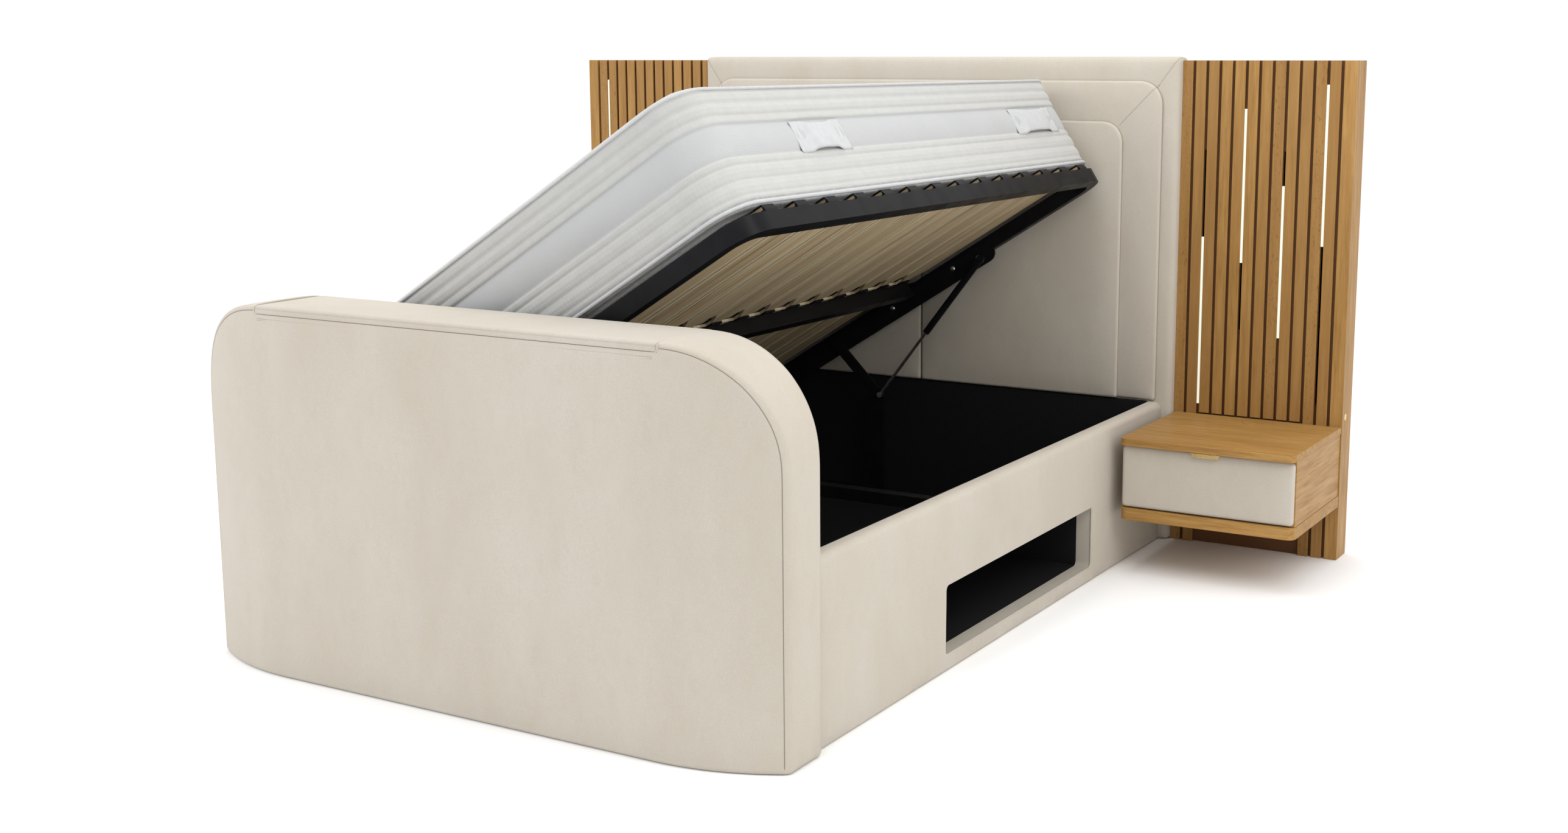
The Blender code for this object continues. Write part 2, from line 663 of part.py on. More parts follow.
def tv_lift(stage_axis, head_axis):
    """Three telescoping square tubes that stand on the footboard's floor."""
    front = FRONT + FOOTBOARD_FRONT_WALL + COLUMN_SETBACK
    middle = front + COLUMN_DEPTH / 2
    flange_bottom = FOOTBOARD_FLOOR + GAP
    flange_top = flange_bottom + FLANGE_THICKNESS
    column_top = flange_top + COLUMN_HEIGHT
    step = COLUMN_WALL + TELESCOPE_CLEARANCE
    half_x, half_y = COLUMN_WIDTH / 2, COLUMN_DEPTH / 2

    bm = bmesh.new()
    bottom = flange_top - WELD_DEPTH
    add_hollow(bm, column_stations(half_x, half_y, COLUMN_WALL, bottom, column_top, middle))
    column = mesh_object("tv_lift_column", bm, BLACK_STEEL)
    flange = bmesh.new()
    reach = (FLANGE_WIDTH - COLUMN_WIDTH) / 2
    add_block(
        flange,
        (-FLANGE_WIDTH / 2, front - COLUMN_SETBACK / 2, flange_bottom),
        (FLANGE_WIDTH / 2, front + COLUMN_DEPTH + reach, flange_top),
    )
    join(column, flange)

    bm = bmesh.new()
    bottom = flange_top + GAP
    stage_top = column_top + STAGE_REVEAL
    add_hollow(bm, column_stations(half_x - step, half_y - step, COLUMN_WALL, bottom, stage_top, middle))
    mesh_object("tv_lift_stage", bm, BARE_STEEL, stage_axis)

    bm = bmesh.new()
    arm_bottom = stage_top + GAP
    arm_top = arm_bottom + HEAD_ARM_THICKNESS
    half_x, half_y = half_x - 2 * step, half_y - 2 * step
    top = arm_bottom + WELD_DEPTH
    add_hollow(bm, column_stations(half_x, half_y, COLUMN_WALL, bottom, top, middle))
    head = mesh_object("tv_lift_head", bm, BARE_STEEL, head_axis)
    arm = bmesh.new()
    arm_end = front + COLUMN_DEPTH + HEAD_ARM_REACH
    low = (-COLUMN_WIDTH / 2, middle - half_y, arm_bottom)
    add_block(arm, low, (COLUMN_WIDTH / 2, arm_end, arm_top))
    join(head, arm)

    bm = bmesh.new()
    plate_front = arm_end + GAP
    plate_back = plate_front + TV_PLATE_THICKNESS
    half = TV_PLATE_SIZE / 2
    low = (-half, plate_front, arm_top - TV_PLATE_SIZE)
    add_block(bm, low, (half, plate_back, arm_top))
    plate = mesh_object("tv_mount_plate", bm, BLACK_STEEL, head_axis)
    holes = bmesh.new()
    span = [(plate_front - OVERRUN, TV_HOLE_RADIUS), (plate_back + OVERRUN, TV_HOLE_RADIUS)]
    centre_z = arm_top - half
    for across in (-TV_HOLE_PITCH / 2, TV_HOLE_PITCH / 2):
        for up in (-TV_HOLE_PITCH / 2, TV_HOLE_PITCH / 2):
            add_turned(holes, (across, centre_z + up), span, along_y, 8)
    cut(plate, holes)


# Side rails and storage base


def side_rail(side, name):
    inner, outer = WELL_HALF, WELL_HALF + RAIL_THICKNESS
    outer_centre = (outer - RAIL_OUTER_ROUND, RAIL_HEIGHT - RAIL_OUTER_ROUND)
    inner_centre = (inner + RAIL_INNER_ROUND, RAIL_HEIGHT - RAIL_INNER_ROUND)
    outline = [
        (inner, 0),
        (outer, 0),
        *arc(outer_centre, RAIL_OUTER_ROUND, 0, math.pi / 2, 6),
        *arc(inner_centre, RAIL_INNER_ROUND, math.pi / 2, math.pi, 4),
    ]
    bm = bmesh.new()
    mirrored = [(side * across, up) for across, up in outline]
    add_prism(bm, mirrored, WELL_START + GAP, BORDER_FRONT - GAP, along_y)
    return mesh_object(name, bm, PLUSH, smooth=True)


def niche_outline():
    """The opening of the media niche, as (along the bed, up)."""
    start = WELL_START + NICHE_START
    bottom = FLOOR_TOP + NICHE_WALL
    half_length, half_height = NICHE_LENGTH / 2, NICHE_HEIGHT / 2
    centre = (start + half_length, bottom + half_height)
    points = rounded_rectangle(half_length, half_height, NICHE_CORNER, 4, 1)
    return [added(centre, point) for point in points]


def side_rails():
    side_rail(LEFT, "side_rail_left")
    right = side_rail(RIGHT, "side_rail_right")
    opening = bmesh.new()
    add_prism(opening, niche_outline(), WELL_HALF - OVERRUN, WELL_HALF + RAIL_THICKNESS + OVERRUN, along_x)
    cut(right, opening)


def media_niche_box():
    start = WELL_START + NICHE_START
    inner_end = WELL_HALF - GAP
    bottom, top = FLOOR_TOP, FLOOR_TOP + NICHE_HEIGHT + 2 * NICHE_WALL
    bm = bmesh.new()
    low = (inner_end - NICHE_DEPTH - NICHE_WALL, start - NICHE_WALL, bottom)
    add_block(bm, low, (inner_end, start + NICHE_LENGTH + NICHE_WALL, top))
    box = mesh_object("media_niche_box", bm, FELT)
    hollow = bmesh.new()
    low = (inner_end - NICHE_DEPTH, start, bottom + NICHE_WALL)
    add_block(hollow, low, (inner_end + OVERRUN, start + NICHE_LENGTH, top - NICHE_WALL))
    cut(box, hollow)


def base_board(name, low, high, finish):
    bm = bmesh.new()
    add_block(bm, low, high)
    return mesh_object(name, bm, finish)


def storage_base():
    half = WELL_HALF - GAP
    lining_front = BORDER_FRONT - GAP - LINING_THICKNESS
    high = (half, lining_front - GAP, FLOOR_THICKNESS)
    base_board("storage_floor", (-half, WELL_START + GAP, 0), high, FELT)
    high = (half, BORDER_FRONT - GAP, RAIL_HEIGHT)
    base_board("lining_head", (-half, lining_front, 0), high, FELT)
    beam_bottom = FLOOR_TOP + NICHE_HEIGHT + 2 * NICHE_WALL + GAP
    beam_start = WELL_START + BEAM_START
    high = (half, beam_start + BEAM_WIDTH, beam_bottom + BEAM_HEIGHT)
    base_board("cross_beam", (-half, beam_start, beam_bottom), high, BLACK_STEEL)
    cleat_top = PLATFORM_TOP_CLOSED - TUBE_HEIGHT - GAP
    low = (half - CLEAT_WIDTH, WELL_START + CLEAT_INSET, cleat_top - CLEAT_HEIGHT)
    base_board("rest_cleat", low, (half, lining_front - CLEAT_INSET, cleat_top), BLACK_STEEL)


# Headboard


def headboard():
    half = HEADBOARD_WIDTH / 2
    bm = bmesh.new()
    add_block(bm, (-half, BORDER_FRONT, 0), (half, BORDER_FRONT + BORDER_DEPTH, HEADBOARD_HEIGHT))
    border = mesh_object("headboard_border", bm, PLUSH)
    round_edges(border, UPHOLSTERY_ROUND)

    bm = bmesh.new()
    outline = arched(MID_PANEL_WIDTH / 2, PAD_BOTTOM, MID_PANEL_TOP, PANEL_CORNER, 6)
    add_prism(bm, outline, WELL_END + PAD_STEP, BORDER_FRONT - GAP, along_y)
    middle = mesh_object("headboard_mid_panel", bm, PLUSH)
    round_edges(middle, PAD_ROUND)

    half = INNER_PANEL_WIDTH / 2
    centre = (half - PANEL_CORNER, INNER_PANEL_TOP - PANEL_CORNER)
    corner = arc(centre, PANEL_CORNER, 0, math.pi / 2, 6)
    outline = [(SEAM_HALF_GAP, PAD_BOTTOM), (half, PAD_BOTTOM), *corner, (SEAM_HALF_GAP, INNER_PANEL_TOP)]
    for side, name in ((LEFT, "headboard_panel_left"), (RIGHT, "headboard_panel_right")):
        bm = bmesh.new()
        add_prism(bm, [(side * x, z) for x, z in outline], WELL_END, WELL_END + PAD_STEP - GAP, along_y)
        panel = mesh_object(name, bm, PLUSH)
        round_edges(panel, PAD_ROUND)


# Wings


def led_places():
    """Each light bar's middle across the wing, and its lower and upper end."""
    places = []
    for groove, (low_share, high_share) in zip(LED_GROOVES, LED_END_SHARES):
        across = WING_INNER + SLAT_PITCH * groove - GROOVE_WIDTH / 2
        places.append((across, low_share * WING_HEIGHT, high_share * WING_HEIGHT))
    return places


def block_beside(bm, side, inner, outer, low, high):
    """A block on one side of the bed, between two distances from its middle; low and high are (y, z)."""
    near, far = sorted((side * inner, side * outer))
    add_block(bm, (near, *low), (far, *high))


def wing(side, suffix):
    groove_floor = WING_FRONT + GROOVE_DEPTH
    panel_back = WING_FRONT + WING_PANEL_DEPTH
    outline = []
    for i in range(SLAT_COUNT):
        start = WING_INNER + i * SLAT_PITCH
        end = start + SLAT_PITCH - GROOVE_WIDTH
        outline += [(start, WING_FRONT), (end, WING_FRONT)]
        outline += [(end, groove_floor), (start + SLAT_PITCH, groove_floor)]
    outline += [(WING_INNER + SLAT_COUNT * SLAT_PITCH, panel_back), (WING_INNER, panel_back)]
    bm = bmesh.new()
    add_prism(bm, [(side * x, y) for x, y in outline], 0, WING_HEIGHT, along_z)
    panel = mesh_object(f"wing_panel_{suffix}", bm, OAK)

    recess = bmesh.new()
    inner = WING_INNER + EDGE_SLATS * SLAT_PITCH - GROOVE_WIDTH
    outer = WING_INNER + (SLAT_COUNT - EDGE_SLATS) * SLAT_PITCH
    high = (groove_floor + RECESS_EXTRA_DEPTH, RECESS_HEIGHT)
    block_beside(recess, side, inner, outer, (WING_FRONT - OVERRUN, -OVERRUN), high)
    cut(panel, recess)

    slots = bmesh.new()
    feed = LED_FEED_SHARE * WING_HEIGHT
    half = LED_STUB / 2 + GAP
    for across, _, _ in led_places():
        low = (WING_FRONT, feed - half)
        block_beside(slots, side, across - half, across + half, low, (panel_back + OVERRUN, feed + half))
    cut(panel, slots)

    bm = bmesh.new()
    inner = WING_OUTER - SIDE_BOARD_THICKNESS
    block_beside(bm, side, inner, WING_OUTER, (WING_FRONT, 0), (BACK, WING_HEIGHT))
    mesh_object(f"wing_side_board_{suffix}", bm, OAK)
    led_strips(side, suffix, panel_back, feed)


def led_strips(side, suffix, panel_back, feed):
    """Light bars in four grooves, on stubs through the panel from one feed strip behind it."""
    half = LED_WIDTH / 2
    face = WING_FRONT + LED_SINK
    strip_front = panel_back + GAP
    places = led_places()
    bm = bmesh.new()
    for across, low_end, high_end in places:
        block_beside(bm, side, across - half, across + half, (face, low_end), (face + LED_DEPTH, high_end))
    ends = (places[0][0] - LED_STUB, places[-1][0] + LED_STUB)
    low = (strip_front, feed - LED_FEED_HEIGHT / 2)
    high = (strip_front + LED_FEED_THICKNESS, feed + LED_FEED_HEIGHT / 2)
    block_beside(bm, side, *ends, low, high)
    strips = mesh_object(f"led_strips_{suffix}", bm, LED_LENS)
    stubs = bmesh.new()
    half = LED_STUB / 2
    for across, _, _ in places:
        low = (face + LED_DEPTH - WELD_DEPTH, feed - half)
        high = (strip_front + WELD_DEPTH, feed + half)
        block_beside(stubs, side, across - half, across + half, low, high)
    join(strips, stubs)


# Nightstands


def shelf_outline(side, front):
    """A board with its two front corners rounded, as (across, along)."""
    corners = [
        (STAND_INNER, STAND_REAR),
        *arc((STAND_INNER + STAND_CORNER, front + STAND_CORNER), STAND_CORNER, math.pi, 3 * math.pi / 2, 5),
        *arc((STAND_OUTER - STAND_CORNER, front + STAND_CORNER), STAND_CORNER, -math.pi / 2, 0, 5),
        (STAND_OUTER, STAND_REAR),
    ]
    return [(side * x, y) for x, y in corners]


def u_outline(side, inner, outer, arm, front, rear, bridge):
    """A U in plan, open to the front: two arms this wide, joined by a bridge at the rear."""
    points = [
        (inner, front),
        (inner + arm, front),
        (inner + arm, rear - bridge),
        (outer - arm, rear - bridge),
        (outer - arm, front),
        (outer, front),
        (outer, rear),
        (inner, rear),
    ]
    return [(side * x, y) for x, y in points]


def nightstand(side, suffix):
    bm = bmesh.new()
    add_prism(bm, shelf_outline(side, STAND_FRONT), STAND_TOP_BOTTOM, STAND_TOP_HEIGHT, along_z)
    mesh_object(f"nightstand_top_{suffix}", bm, OAK)

    bm = bmesh.new()
    base_front = STAND_FRONT + STAND_BASE_SETBACK
    add_prism(bm, shelf_outline(side, base_front), STAND_BASE_BOTTOM, STAND_BASE_TOP, along_z)
    mesh_object(f"nightstand_base_{suffix}", bm, OAK)

    bm = bmesh.new()
    inner, outer = STAND_INNER + STAND_SIDE_INSET, STAND_OUTER - STAND_SIDE_INSET
    front = STAND_FRONT + STAND_SIDE_SETBACK
    outline = u_outline(side, inner, outer, STAND_SIDE_THICKNESS, front, STAND_REAR, STAND_BACK_THICKNESS)
    add_prism(bm, outline, STAND_BASE_TOP + GAP, STAND_TOP_BOTTOM - GAP, along_z)
    mesh_object(f"nightstand_frame_{suffix}", bm, OAK)

    bm = bmesh.new()
    box_inner = STAND_BAY_INNER + DRAWER_BOX_SIDE_CLEARANCE
    box_outer = STAND_BAY_OUTER - DRAWER_BOX_SIDE_CLEARANCE
    box_front = DRAWER_FRONT_REAR + GAP
    box_rear = box_front + DRAWER_BOX_LENGTH
    arms = (box_inner + RUNNER_INSET, box_outer - RUNNER_INSET, RUNNER_WIDTH)
    outline = u_outline(side, *arms, box_front + RUNNER_INSET, box_rear, RUNNER_WIDTH)
    runner_bottom = STAND_BASE_TOP + GAP
    add_prism(bm, outline, runner_bottom, runner_bottom + RUNNER_HEIGHT, along_z)
    mesh_object(f"drawer_runner_{suffix}", bm, BARE_STEEL)

    drawer(side, suffix, box_inner, box_outer, box_front, box_rear)


def drawer(side, suffix, box_inner, box_outer, box_front, box_rear):
    """Box, upholstered front and finger pull, all on the drawer's own slide."""
    slide = empty(f"drawer_slide_{suffix}", (side * STAND_MIDDLE, box_front, DRAWER_BOX_BOTTOM))

    def placed(name, bm, finish):
        bmesh.ops.translate(bm, vec=-slide.location, verts=bm.verts)
        return mesh_object(f"{name}_{suffix}", bm, finish, slide)

    top = DRAWER_BOX_BOTTOM + DRAWER_BOX_HEIGHT
    bm = bmesh.new()
    block_beside(bm, side, box_inner, box_outer, (box_front, DRAWER_BOX_BOTTOM), (box_rear, top))
    box = placed("drawer_box", bm, OAK)
    hollow = bmesh.new()
    wall = DRAWER_BOX_WALL
    low = (box_front + wall, DRAWER_BOX_BOTTOM + wall)
    block_beside(hollow, side, box_inner + wall, box_outer - wall, low, (box_rear - wall, top + OVERRUN))
    bmesh.ops.translate(hollow, vec=-slide.location, verts=hollow.verts)
    cut(box, hollow)

    bm = bmesh.new()
    inner = STAND_BAY_INNER + DRAWER_FRONT_SIDE_CLEARANCE
    outer = STAND_BAY_OUTER - DRAWER_FRONT_SIDE_CLEARANCE
    low = (DRAWER_FRONT_FACE, DRAWER_FRONT_BOTTOM)
    block_beside(bm, side, inner, outer, low, (DRAWER_FRONT_REAR, DRAWER_FRONT_TOP))
    front = placed("drawer_front", bm, PLUSH)
    round_edges(front, DRAWER_FRONT_ROUND)

    bm = bmesh.new()
    sheet_bottom = DRAWER_FRONT_TOP + GAP
    sheet_top = sheet_bottom + PULL_SHEET
    lip_front = DRAWER_FRONT_FACE - PULL_REACH
    half = PULL_WIDTH / 2
    middle = side * STAND_MIDDLE
    high = (middle + half, DRAWER_FRONT_FACE + PULL_GRIP, sheet_top)
    add_block(bm, (middle - half, lip_front, sheet_bottom), high)
    pull = placed("drawer_pull", bm, BRASS)
    lip = bmesh.new()
    foot = half - PULL_TAPER
    shoulder = half - PULL_SHEET
    lip_bottom = sheet_top - PULL_LIP_HEIGHT
    lip_top = sheet_top - PULL_SHEET / 2
    outline = [(-foot, lip_bottom), (foot, lip_bottom), (shoulder, lip_top), (-shoulder, lip_top)]
    outline = [(middle + x, z) for x, z in outline]
    add_prism(lip, outline, lip_front + GAP, lip_front + PULL_SHEET, along_y)
    bmesh.ops.translate(lip, vec=-slide.location, verts=lip.verts)
    join(pull, lip)


# Platform, in its own frame: x along its width from the left edge, y from its middle, z up from its top


def tube_loops(centre, normal):
    """Outer and inner section of the frame tube about a point of its centre line."""
    loops = []
    for inset in (0, TUBE_WALL):
        half = TUBE_WIDTH / 2 - inset
        across = (normal[0] * half, normal[1] * half)
        outer, inner = added(centre, across), taken(centre, across)
        bottom, top = -TUBE_HEIGHT + inset, -inset
        loops.append([(*outer, bottom), (*inner, bottom), (*inner, top), (*outer, top)])
    return loops


def end_tube(name, end, frame):
    """The tube across one end of the platform, bent round at both corners."""
    far = PLATFORM_LENGTH / 2 - TUBE_WIDTH / 2
    left, right = TUBE_WIDTH / 2, PLATFORM_WIDTH - TUBE_WIDTH / 2
    corner_y = far - TUBE_BEND
    path = [((left, corner_y - TUBE_STUB), math.pi)]
    for centre_x, start in ((left + TUBE_BEND, math.pi), (right - TUBE_BEND, math.pi / 2)):
        angles = [start - i * math.pi / 2 / BEND_STEPS for i in range(BEND_STEPS + 1)]
        for a in angles:
            point = (centre_x + TUBE_BEND * math.cos(a), corner_y + TUBE_BEND * math.sin(a))
            path.append((point, a))
    path.append(((right, corner_y - TUBE_STUB), 0))
    stations = []
    for (x, y), a in path:
        stations.append(tube_loops((x, end * y), (math.cos(a), end * math.sin(a))))
    bm = bmesh.new()
    add_hollow(bm, stations)
    mesh_object(name, bm, BLACK_STEEL, frame, smooth=True)


def straight_tube(bm, along, half_length):
    add_hollow(bm, [tube_loops((along, y), (1, 0)) for y in (-half_length, half_length)])


def slat_rows():
    first = -(BED_SLAT_COUNT - 1) * BED_SLAT_PITCH / 2
    return [first + i * BED_SLAT_PITCH for i in range(BED_SLAT_COUNT)]


def edge_cap_outline(along, side):
    """A slat holder on a side tube, open towards the middle, as (across, up)."""
    points = [
        (0, -WELD_DEPTH),
        (CAP_DEPTH, -WELD_DEPTH),
        (CAP_DEPTH, CAP_SHELF),
        (CAP_WEB, CAP_SHELF),
        (CAP_WEB, CAP_POCKET_TOP),
        (CAP_DEPTH, CAP_POCKET_TOP),
        (CAP_DEPTH, CAP_HEIGHT),
        (CAP_SHELF, CAP_HEIGHT),
        (0, CAP_SHELF),
    ]
    return [(along - side * x, z) for x, z in points]


def centre_cap_outline():
    middle, web, half = PLATFORM_WIDTH / 2, CENTRE_WEB / 2, CENTRE_CAP_DEPTH / 2
    right = [
        (half, 0),
        (half, CAP_SHELF),
        (web, CAP_SHELF),
        (web, CAP_POCKET_TOP),
        (half, CAP_POCKET_TOP),
        (half, CAP_HEIGHT),
    ]
    tube_half = TUBE_WIDTH / 2 - WELD_DEPTH
    seat = [(-half, 0), (-tube_half, 0), (-tube_half, -WELD_DEPTH)]
    seat += [(tube_half, -WELD_DEPTH), (tube_half, 0)]
    left = [(-x, z) for x, z in reversed(right[1:])]
    return [(middle + x, z) for x, z in seat + right + left]


def platform_frame_tubes(frame):
    end_tube("platform_tube_head", HEAD_END, frame)
    end_tube("platform_tube_foot", FOOT_END, frame)
    half = PLATFORM_LENGTH / 2 - TUBE_WIDTH / 2 - TUBE_BEND - TUBE_STUB - GAP
    places = (
        (LEFT, "platform_tube_left", TUBE_WIDTH / 2, WELD_DEPTH),
        (RIGHT, "platform_tube_right", PLATFORM_WIDTH - TUBE_WIDTH / 2, PLATFORM_WIDTH - WELD_DEPTH),
    )
    for side, name, middle, cap_edge in places:
        bm = bmesh.new()
        straight_tube(bm, middle, half)
        tube = mesh_object(name, bm, BLACK_STEEL, frame)
        caps = bmesh.new()
        for y in slat_rows():
            outline = edge_cap_outline(cap_edge, side)
            add_prism(caps, outline, y - CAP_LENGTH / 2, y + CAP_LENGTH / 2, along_y)
        join(tube, caps)

    bm = bmesh.new()
    middle = PLATFORM_WIDTH / 2
    rail_half = END_TUBE_INNER - RAIL_END_CLEARANCE
    straight_tube(bm, middle, rail_half)
    rail = mesh_object("centre_rail", bm, BLACK_STEEL, frame)
    caps = bmesh.new()
    for y in slat_rows():
        add_prism(caps, centre_cap_outline(), y - CAP_LENGTH / 2, y + CAP_LENGTH / 2, along_y)
    join(rail, caps)
    tongues = bmesh.new()
    half_width = TUBE_WIDTH / 2 - 2 * TUBE_WALL
    for end in (HEAD_END, FOOT_END):
        near, far = sorted((end * (rail_half - CAP_LENGTH), end * (END_TUBE_INNER - GAP)))
        low = (middle - half_width, near, -TUBE_WALL / 2 - TONGUE_THICKNESS)
        add_block(tongues, low, (middle + half_width, far, -TUBE_WALL / 2))
    join(rail, tongues)


def slat_set(name, side, frame):
    """One side's slats, held together by a thin strip over the centre rail."""
    root = PLATFORM_WIDTH / 2 + side * (CENTRE_WEB / 2 + GAP)
    edge = WELD_DEPTH + CAP_WEB + GAP
    tip = edge if side == LEFT else PLATFORM_WIDTH - edge
    reach = side * (tip - root)
    end_half, half = BED_SLAT_END_WIDTH / 2, BED_SLAT_WIDTH / 2
    shoulder = CAP_DEPTH + WELD_DEPTH
    inner_shoulder = CENTRE_CAP_DEPTH / 2 - CENTRE_WEB / 2
    outline = []
    for y in slat_rows():
        lower = [
            (SLAT_STRIP, y - end_half),
            (inner_shoulder, y - end_half),
            (inner_shoulder + BED_SLAT_TAPER, y - half),
            (reach - shoulder - BED_SLAT_TAPER, y - half),
            (reach - shoulder, y - end_half),
            (reach, y - end_half),
        ]
        outline += lower + [(x, 2 * y - across) for x, across in reversed(lower)]
    outline += [(0, slat_rows()[-1] + end_half), (0, slat_rows()[0] - end_half)]
    bm = bmesh.new()
    points = [(root + side * x, y) for x, y in outline]
    add_prism(bm, points, SLAT_BOTTOM, SLAT_BOTTOM + BED_SLAT_THICKNESS, along_z)
    mesh_object(name, bm, BIRCH, frame)


def mattress(frame):
    """Crowned top, flat underside, and a border drawn in at its seams between two piped edges."""
    half_width, half_length = MATTRESS_WIDTH / 2, MATTRESS_LENGTH / 2
    edge_height = MATTRESS_THICKNESS - MATTRESS_CROWN
    lower = list(zip(HALF_BORDER_HEIGHT_SHARES, HALF_BORDER_INSET_SHARES))
    upper = [(1 - height, inset) for height, inset in reversed(lower)]
    border = lower + [(1 / 2, BORDER_MIDDLE_INSET_SHARE)] + upper
    levels = [(height * edge_height, inset * MATTRESS_SEAM_DEPTH) for height, inset in border]
    for share in CROWN_INSET_SHARES:
        rise = 1 - (1 - share) ** 4
        levels.append((edge_height + MATTRESS_CROWN * rise, share * half_width))
    centre = (PLATFORM_WIDTH / 2, CAP_HEIGHT + GAP)
    bm = bmesh.new()
    rings = []
    for height, inset in levels:
        corner = max(MATTRESS_CORNER - inset, MATTRESS_CORNER / 2)
        outline = rounded_rectangle(
            half_width - inset, half_length - inset, corner, MATTRESS_CORNER_STEPS, MATTRESS_SIDE_STEPS
        )
        rings.append([bm.verts.new((centre[0] + x, y, centre[1] + height)) for x, y in outline])
    for ring, other in zip(rings, rings[1:]):
        wrap(bm, ring, other)
    bm.faces.new(rings[0])
    top = bm.verts.new((centre[0], 0, centre[1] + MATTRESS_THICKNESS))
    for i, corner in enumerate(rings[-1]):
        bm.faces.new((rings[-1][i - 1], corner, top))
    mesh_object("mattress", bm, TICKING, frame, smooth=True)


# Lift mechanism


def layer(end, near, far):
    """Two distances from the platform's middle, as places along Y at the head or the foot end."""
    return sorted((end * near, end * far))


def lift_bracket(end, suffix):
    """A standing plate with an ear for each link, on a foot that is fixed to the storage floor."""
    second, main = SECOND_BASE, MAIN_BASE
    strip_top = FLOOR_TOP + BRACKET_STRIP_HEIGHT
    outline = [
        (second[0] - BRACKET_SECOND_EAR_RADIUS, FLOOR_TOP),
        (main[0] + BRACKET_EAR_RADIUS, FLOOR_TOP),
        *arc(main, BRACKET_EAR_RADIUS, 0, math.pi, 10),
        (main[0] - BRACKET_EAR_RADIUS, strip_top),
        (second[0] + BRACKET_SECOND_EAR_RADIUS, strip_top),
        *arc(second, BRACKET_SECOND_EAR_RADIUS, 0, math.pi, 10),
    ]
    bm = bmesh.new()
    middle = PLATFORM_MIDDLE
    near, far = layer(end, EAR_INNER_FACE, EAR_OUTER_FACE)
    add_prism(bm, outline, middle + near, middle + far, along_y)
    bracket = mesh_object(f"lift_bracket_{suffix}", bm, BLACK_STEEL)
    foot = bmesh.new()
    near, far = layer(end, EAR_OUTER_FACE - WELD_DEPTH, EAR_OUTER_FACE + BRACKET_FOOT_LENGTH)
    low = (outline[0][0] + WELD_DEPTH, middle + near, FLOOR_TOP)
    add_block(foot, low, (outline[1][0] - WELD_DEPTH, middle + far, FLOOR_TOP + BRACKET_FOOT_THICKNESS))
    join(bracket, foot)
    holes = bmesh.new()
    near, far = layer(end, EAR_INNER_FACE - OVERRUN, EAR_OUTER_FACE + OVERRUN)
    radius = PIN_RADIUS + PIN_CLEARANCE
    for centre in (main, second):
        add_turned(holes, centre, [(middle + near, radius), (middle + far, radius)], along_y)
    cut(bracket, holes)


def lift_link(name, end, pivot, length, radius, pins):
    """A flat bar with round ends. Each pin is (place along the bar, near face, far face)."""
    bm = bmesh.new()
    add_prism(bm, stadium(length, radius), *layer(end, LINK_INNER_FACE, LINK_OUTER_FACE), along_y)
    link = mesh_object(name, bm, BLACK_STEEL, pivot)
    pegs = bmesh.new()
    for along, near, far in pins:
        profile = [(y, PIN_RADIUS) for y in layer(end, near, far)]
        add_turned(pegs, (along, 0), profile, along_y)
    join(link, pegs)


def lift_links(end, suffix, main_pivot, second_pivot):
    base_pin = (0, EAR_INNER_FACE + GAP, LINK_INNER_FACE + WELD_DEPTH)
    arm_pin = (MAIN_LINK_LENGTH, LINK_OUTER_FACE - WELD_DEPTH, ARM_OUTER_FACE - GAP)
    name = f"main_link_{suffix}"
    lift_link(name, end, main_pivot, MAIN_LINK_LENGTH, LINK_RADIUS, [base_pin, arm_pin])
    name = f"second_link_{suffix}"
    lift_link(name, end, second_pivot, SECOND_LINK_LENGTH, SECOND_LINK_RADIUS, [base_pin])


def lift_arm(end, suffix, frame):
    """The plate on the inner face of the end tube that carries the link and the gas strut."""
    bm = bmesh.new()
    half = ARM_HEIGHT / 2
    middle = -ARM_TOP_DROP - half
    round_end = arc((STRUT_PIVOT_ALONG + ARM_END_PAST_STRUT, middle), half, -math.pi / 2, math.pi / 2, 10)
    outline = [(ARM_START, -ARM_TOP_DROP), (ARM_START, -ARM_TOP_DROP - ARM_HEIGHT), *round_end]
    add_prism(bm, outline, *layer(end, ARM_INNER_FACE, ARM_OUTER_FACE), along_y)
    arm = mesh_object(f"lift_arm_{suffix}", bm, BLACK_STEEL, frame)
    hole = bmesh.new()
    radius = PIN_RADIUS + PIN_CLEARANCE
    profile = [(y, radius) for y in layer(end, ARM_INNER_FACE - OVERRUN, ARM_OUTER_FACE + OVERRUN)]
    add_turned(hole, MAIN_PIVOT, profile, along_y)
    cut(arm, hole)
    stud = bmesh.new()
    tip = STRUT_LAYER - EYE_THICKNESS / 2
    profile = [(y, STUD_RADIUS) for y in layer(end, tip, ARM_INNER_FACE + WELD_DEPTH)]
    add_turned(stud, STRUT_PIVOT, profile, along_y)
    join(arm, stud)


